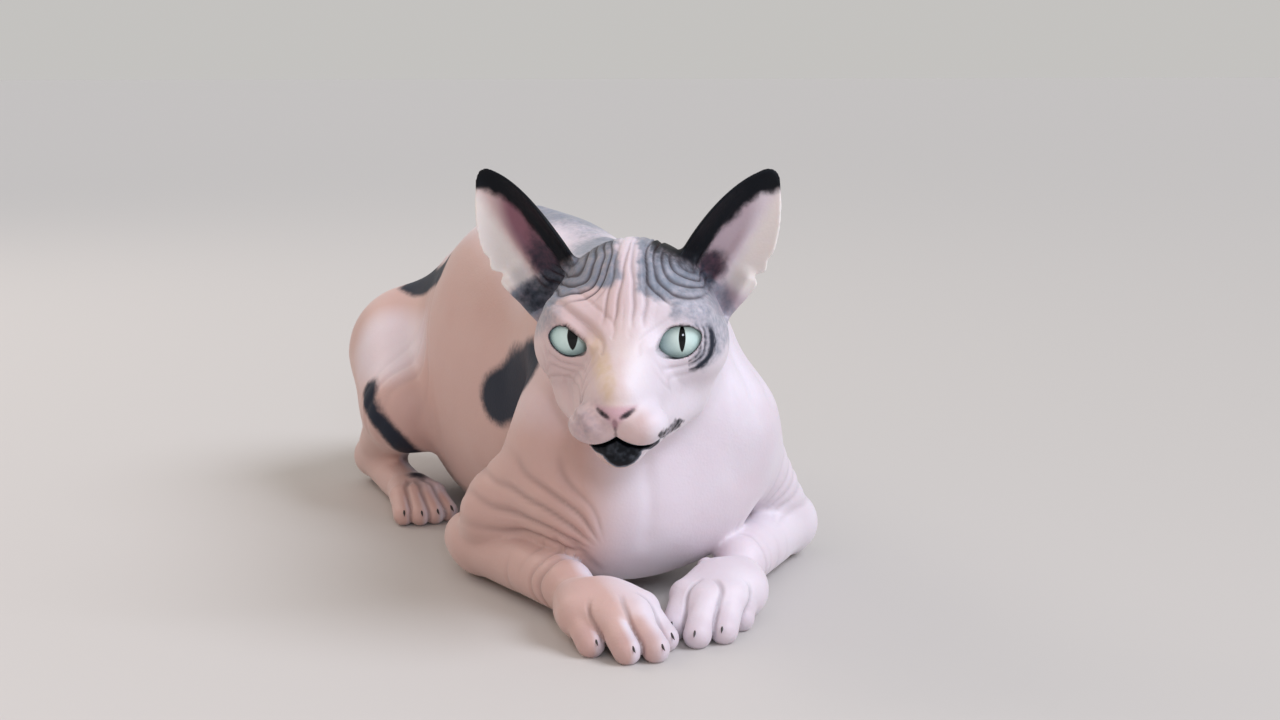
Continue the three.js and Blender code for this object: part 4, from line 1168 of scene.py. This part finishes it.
def make_skin(look):
    coarse, fine = ((look.coarse * 1000, look.fine * 1000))
    axes = [graded(*reach, coarse, fine) for reach in GRID]
    points, quads = surface(flesh(axes), axes)
    used = np.unique(quads)
    again = np.full(len(points), -1)
    again[used] = np.arange(len(used))
    points, quads = points[used], again[quads]
    normals = normals_of(points, quads)
    s, f, u = to_head(*points.T)
    on_head = smoothstep(-64, -56, f) * smoothstep(-58, -50, u)
    head, head_lift = head_marks(points, normals)
    body, body_lift = body_marks(points, normals)
    lift = head_lift * on_head + body_lift * (1 - on_head) * smoothstep(0.2, 4, points[:, 2])
    points = points + normals * lift[:, None]
    points[:, 2] = np.maximum(points[:, 2], 0)
    skin = mesh_object("skin", points, quads, skin_material(look))
    # The body's warm tint, partly painted shade, fades out under the head, its dark patches run on, and the
    # rest is blended.
    kept = dict(warm_and_shade=1 - 0.35 * on_head * smoothstep(-50, -34, u), dark=1)
    for name in MASKS:
        h, b = head[name] * on_head, body.get(name, np.zeros(len(points)))
        set_attribute(skin, name, np.maximum(h, b * kept[name]) if name in kept else h + b * (1 - on_head))
    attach(skin, "root")
    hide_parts(*[n for n in CORE if not n.startswith("eye")])


GAZE = V(0.115, 0.98, 0.14)  # to the cat's left, forward and up, towards the viewer


def make_eyes(look):
    for side, name in ((1, "left"), (-1, "right")):
        low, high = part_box("eye_" + name)
        centre = (low + high) / 2
        bpy.ops.mesh.primitive_uv_sphere_add(segments=64, ring_count=48, radius=EYE_RADIUS / 1000 * 0.995)
        ball = bpy.context.object
        ball.name = "eyeball_" + name
        ball.data.shade_smooth()
        ball.data.materials.append(eye_material(look, PUPIL_HALF_WIDTH[side]))
        # The ball's own Z points along the gaze and its Y stays upright.
        gaze = Vector(SIDE * GAZE[0] + FACE * GAZE[1] + V(0, 0, GAZE[2])).normalized()
        right = Vector((0, 0, 1)).cross(gaze).normalized()
        turn = Matrix((right, gaze.cross(right), gaze)).transposed().to_4x4()
        ball.matrix_world = Matrix.Translation(centre) @ turn
        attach(ball, "root")
        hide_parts("eye_" + name)


CLAW_LENGTH, CLAW_RADIUS = 3.4, 1.15
CLAW_HEIGHT = 2.6  # of its root above the toe's end


def claw(base, ahead):
    """A short hooked claw as rings round a bent line."""
    points, faces, sides, rings = [], [], 12, 7
    side = np.cross(ahead, V(0, 0, 1))
    for i in range(rings):
        t = i / (rings - 1)
        middle = base + ahead * CLAW_LENGTH * t - V(0, 0, 1) * CLAW_LENGTH * 0.45 * t * t
        for j in range(sides):
            a = 2 * math.pi * j / sides
            r = CLAW_RADIUS * (1 - t) ** 0.8 + 0.08
            points.append(middle + side * math.cos(a) * r * 0.7 + V(0, 0, 1) * math.sin(a) * r)
    for i in range(rings - 1):
        for j in range(sides):
            k = (j + 1) % sides
            faces.append([i * sides + j, i * sides + k, (i + 1) * sides + k, (i + 1) * sides + j])
    return points, faces


def make_claws(look):
    """A dark claw tip shows at the end of each toe."""
    for paw, joints in (("fore", toe_joints), ("hind", hind_toe)):
        for side, name in ((1, "left"), (-1, "right")):
            points, faces = [], []
            for i in range(4):
                _, knuckle, tip = joints(side, i)
                ahead = (tip - knuckle) * V(1, 1, 0)
                ahead /= np.linalg.norm(ahead)
                p, q = claw(tip + ahead * CLAW_LENGTH + V(0, 0, CLAW_HEIGHT), ahead)
                faces += [[v + len(points) for v in face] for face in q]
                points += p
            # Horn: smooth, dark and a little shiny.
            horn = plain_material("claw", look.claw, 0.35, CLAW_GRAIN, 0.06)
            claws = mesh_object(f"claws_{paw}_{name}", points, faces, horn)
            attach(claws, "root")


# Each light: name, kind, place in metres, angle or size, power and colour.
LIGHTS = (
    ("key", "SUN", (0.75, -0.75, 1.1), 0.6, 2.3, "#ecf1ff"),
    ("fill", "AREA", (-1.3, -0.7, 0.6), 1.2, 2.4, "#ffd0b4"),
    ("rim", "AREA", (-0.9, 1.1, 1.2), 0.8, 7, "#fff0e6"),
    ("front", "AREA", (-0.27, -1.03, 0.47), 0.14, 1.8, "#e9efff"),
)
LIT_AT = Vector((0, -0.1, 0.08))
ROOM_COLOUR, ROOM_STRENGTH = "#e0dedb", 0.74
CAMERA_AT = V(-272.7, -741.8, 225)
CAMERA_AHEAD = V(0.3746, 0.9272, 0)
CAMERA_DOWN = math.radians(9.5)
CAMERA_LENS, CAMERA_SENSOR = 48.77, 36


def make_stage(look):
    """A pale plain floor, soft studio lights, and the photo's viewpoint."""
    scene = bpy.context.scene
    bpy.ops.mesh.primitive_plane_add(size=80, location=(0, 0, 0))
    floor = bpy.context.object
    floor.name = "floor"
    # Matt painted board, one even colour.
    floor.data.materials.append(plain_material("studio_floor", look.floor, 0.6, FLOOR_GRAIN, 0.0))
    world = bpy.data.worlds.new("studio")
    scene.world = world
    world.use_nodes = True
    background = world.node_tree.nodes["Background"].inputs
    background[0].default_value, background[1].default_value = linear(ROOM_COLOUR), ROOM_STRENGTH
    for name, kind, where, size, power, code in LIGHTS:
        light = bpy.data.lights.new(name, kind)
        setattr(light, "angle" if kind == "SUN" else "size", size)
        light.energy, light.color = power, linear(code)[:3]
        lamp = bpy.data.objects.new(name, light)
        lamp.location = where
        lamp.rotation_euler = (LIT_AT - Vector(where)).to_track_quat("-Z", "Y").to_euler()
        bpy.context.collection.objects.link(lamp)
    camera = bpy.data.cameras.new("camera")
    camera.lens, camera.sensor_width = CAMERA_LENS, CAMERA_SENSOR
    seen = bpy.data.objects.new("camera", camera)
    seen.location = Vector(CAMERA_AT + SHIFT) / 1000
    way = Vector(CAMERA_AHEAD * math.cos(CAMERA_DOWN) - V(0, 0, math.sin(CAMERA_DOWN)))
    seen.rotation_euler = way.to_track_quat("-Z", "Y").to_euler()
    bpy.context.collection.objects.link(seen)
    scene.camera = seen
    scene.view_settings.view_transform = "Standard"


# ADD-ON
def colour_property(name, text, code):
    return bpy.props.FloatVectorProperty(
        name=name, description=text, subtype="COLOR", size=4, min=0, max=1, default=linear(code)
    )


def step_property(name, text, metres):
    return bpy.props.FloatProperty(name=name, description=text, default=metres, precision=5, unit="LENGTH")


class CatLook(bpy.types.PropertyGroup):
    """Sizes and colours of the cat."""

    fine: step_property("Head detail", "Grid step over the head", 0.0006)
    coarse: step_property("Body detail", "Grid step over the body", 0.0015)
    pale: colour_property("Pale skin", "Colour of the palest skin", "#ddd7df")
    pink: colour_property("Pink skin", "Colour of the pinkest skin", "#cfb9c1")
    patch: colour_property("Grey patches", "Colour of the light grey patches", "#6f7886")
    dark: colour_property("Dark patches", "Colour of the darkest patches", "#252a36")
    iris: colour_property("Iris", "Colour of the iris near the pupil", "#d0e6e2")
    claw: colour_property("Claws", "Colour of the claws", "#2b2322")
    floor: colour_property("Floor", "Colour of the studio floor", "#c4c0bc")


class Builder:
    bl_options = {"REGISTER", "UNDO"}

    def execute(self, context):
        self.make(context.scene.cat_look)
        return {"FINISHED"}


class CAT_OT_stage(Builder, bpy.types.Operator):
    """Add the floor, the lights and the camera"""

    bl_idname, bl_label = "cat.stage", "Stage"
    make = staticmethod(make_stage)


class CAT_OT_skin(Builder, bpy.types.Operator):
    """Build the one skin of the whole cat"""

    bl_idname, bl_label = "cat.skin", "Skin"
    make = staticmethod(make_skin)


class CAT_OT_eyes(Builder, bpy.types.Operator):
    """Build both eyeballs"""

    bl_idname, bl_label = "cat.eyes", "Eyes"
    make = staticmethod(make_eyes)


class CAT_OT_claws(Builder, bpy.types.Operator):
    """Build the claws of the four paws"""

    bl_idname, bl_label = "cat.claws", "Claws"
    make = staticmethod(make_claws)


STEPS = (CAT_OT_stage, CAT_OT_skin, CAT_OT_eyes, CAT_OT_claws)


class CAT_PT_panel(bpy.types.Panel):
    """Lists the steps that build the cat"""

    bl_label, bl_idname = "Cat", "CAT_PT_panel"
    bl_space_type, bl_region_type, bl_category = "VIEW_3D", "UI", "Cat"

    def draw(self, context):
        for name in CatLook.__annotations__:
            self.layout.prop(context.scene.cat_look, name)
        for step in STEPS:
            self.layout.operator(step.bl_idname)


def register():
    for cls in (CatLook, *STEPS, CAT_PT_panel):
        bpy.utils.register_class(cls)
    bpy.types.Scene.cat_look = bpy.props.PointerProperty(type=CatLook)


def unregister():
    del bpy.types.Scene.cat_look
    for cls in reversed((CatLook, *STEPS, CAT_PT_panel)):
        bpy.utils.unregister_class(cls)


def main():
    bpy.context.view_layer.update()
    register()
    for step in STEPS:
        getattr(bpy.ops.cat, step.bl_idname.split(".")[1])()


if __name__ == "__main__":
    main()
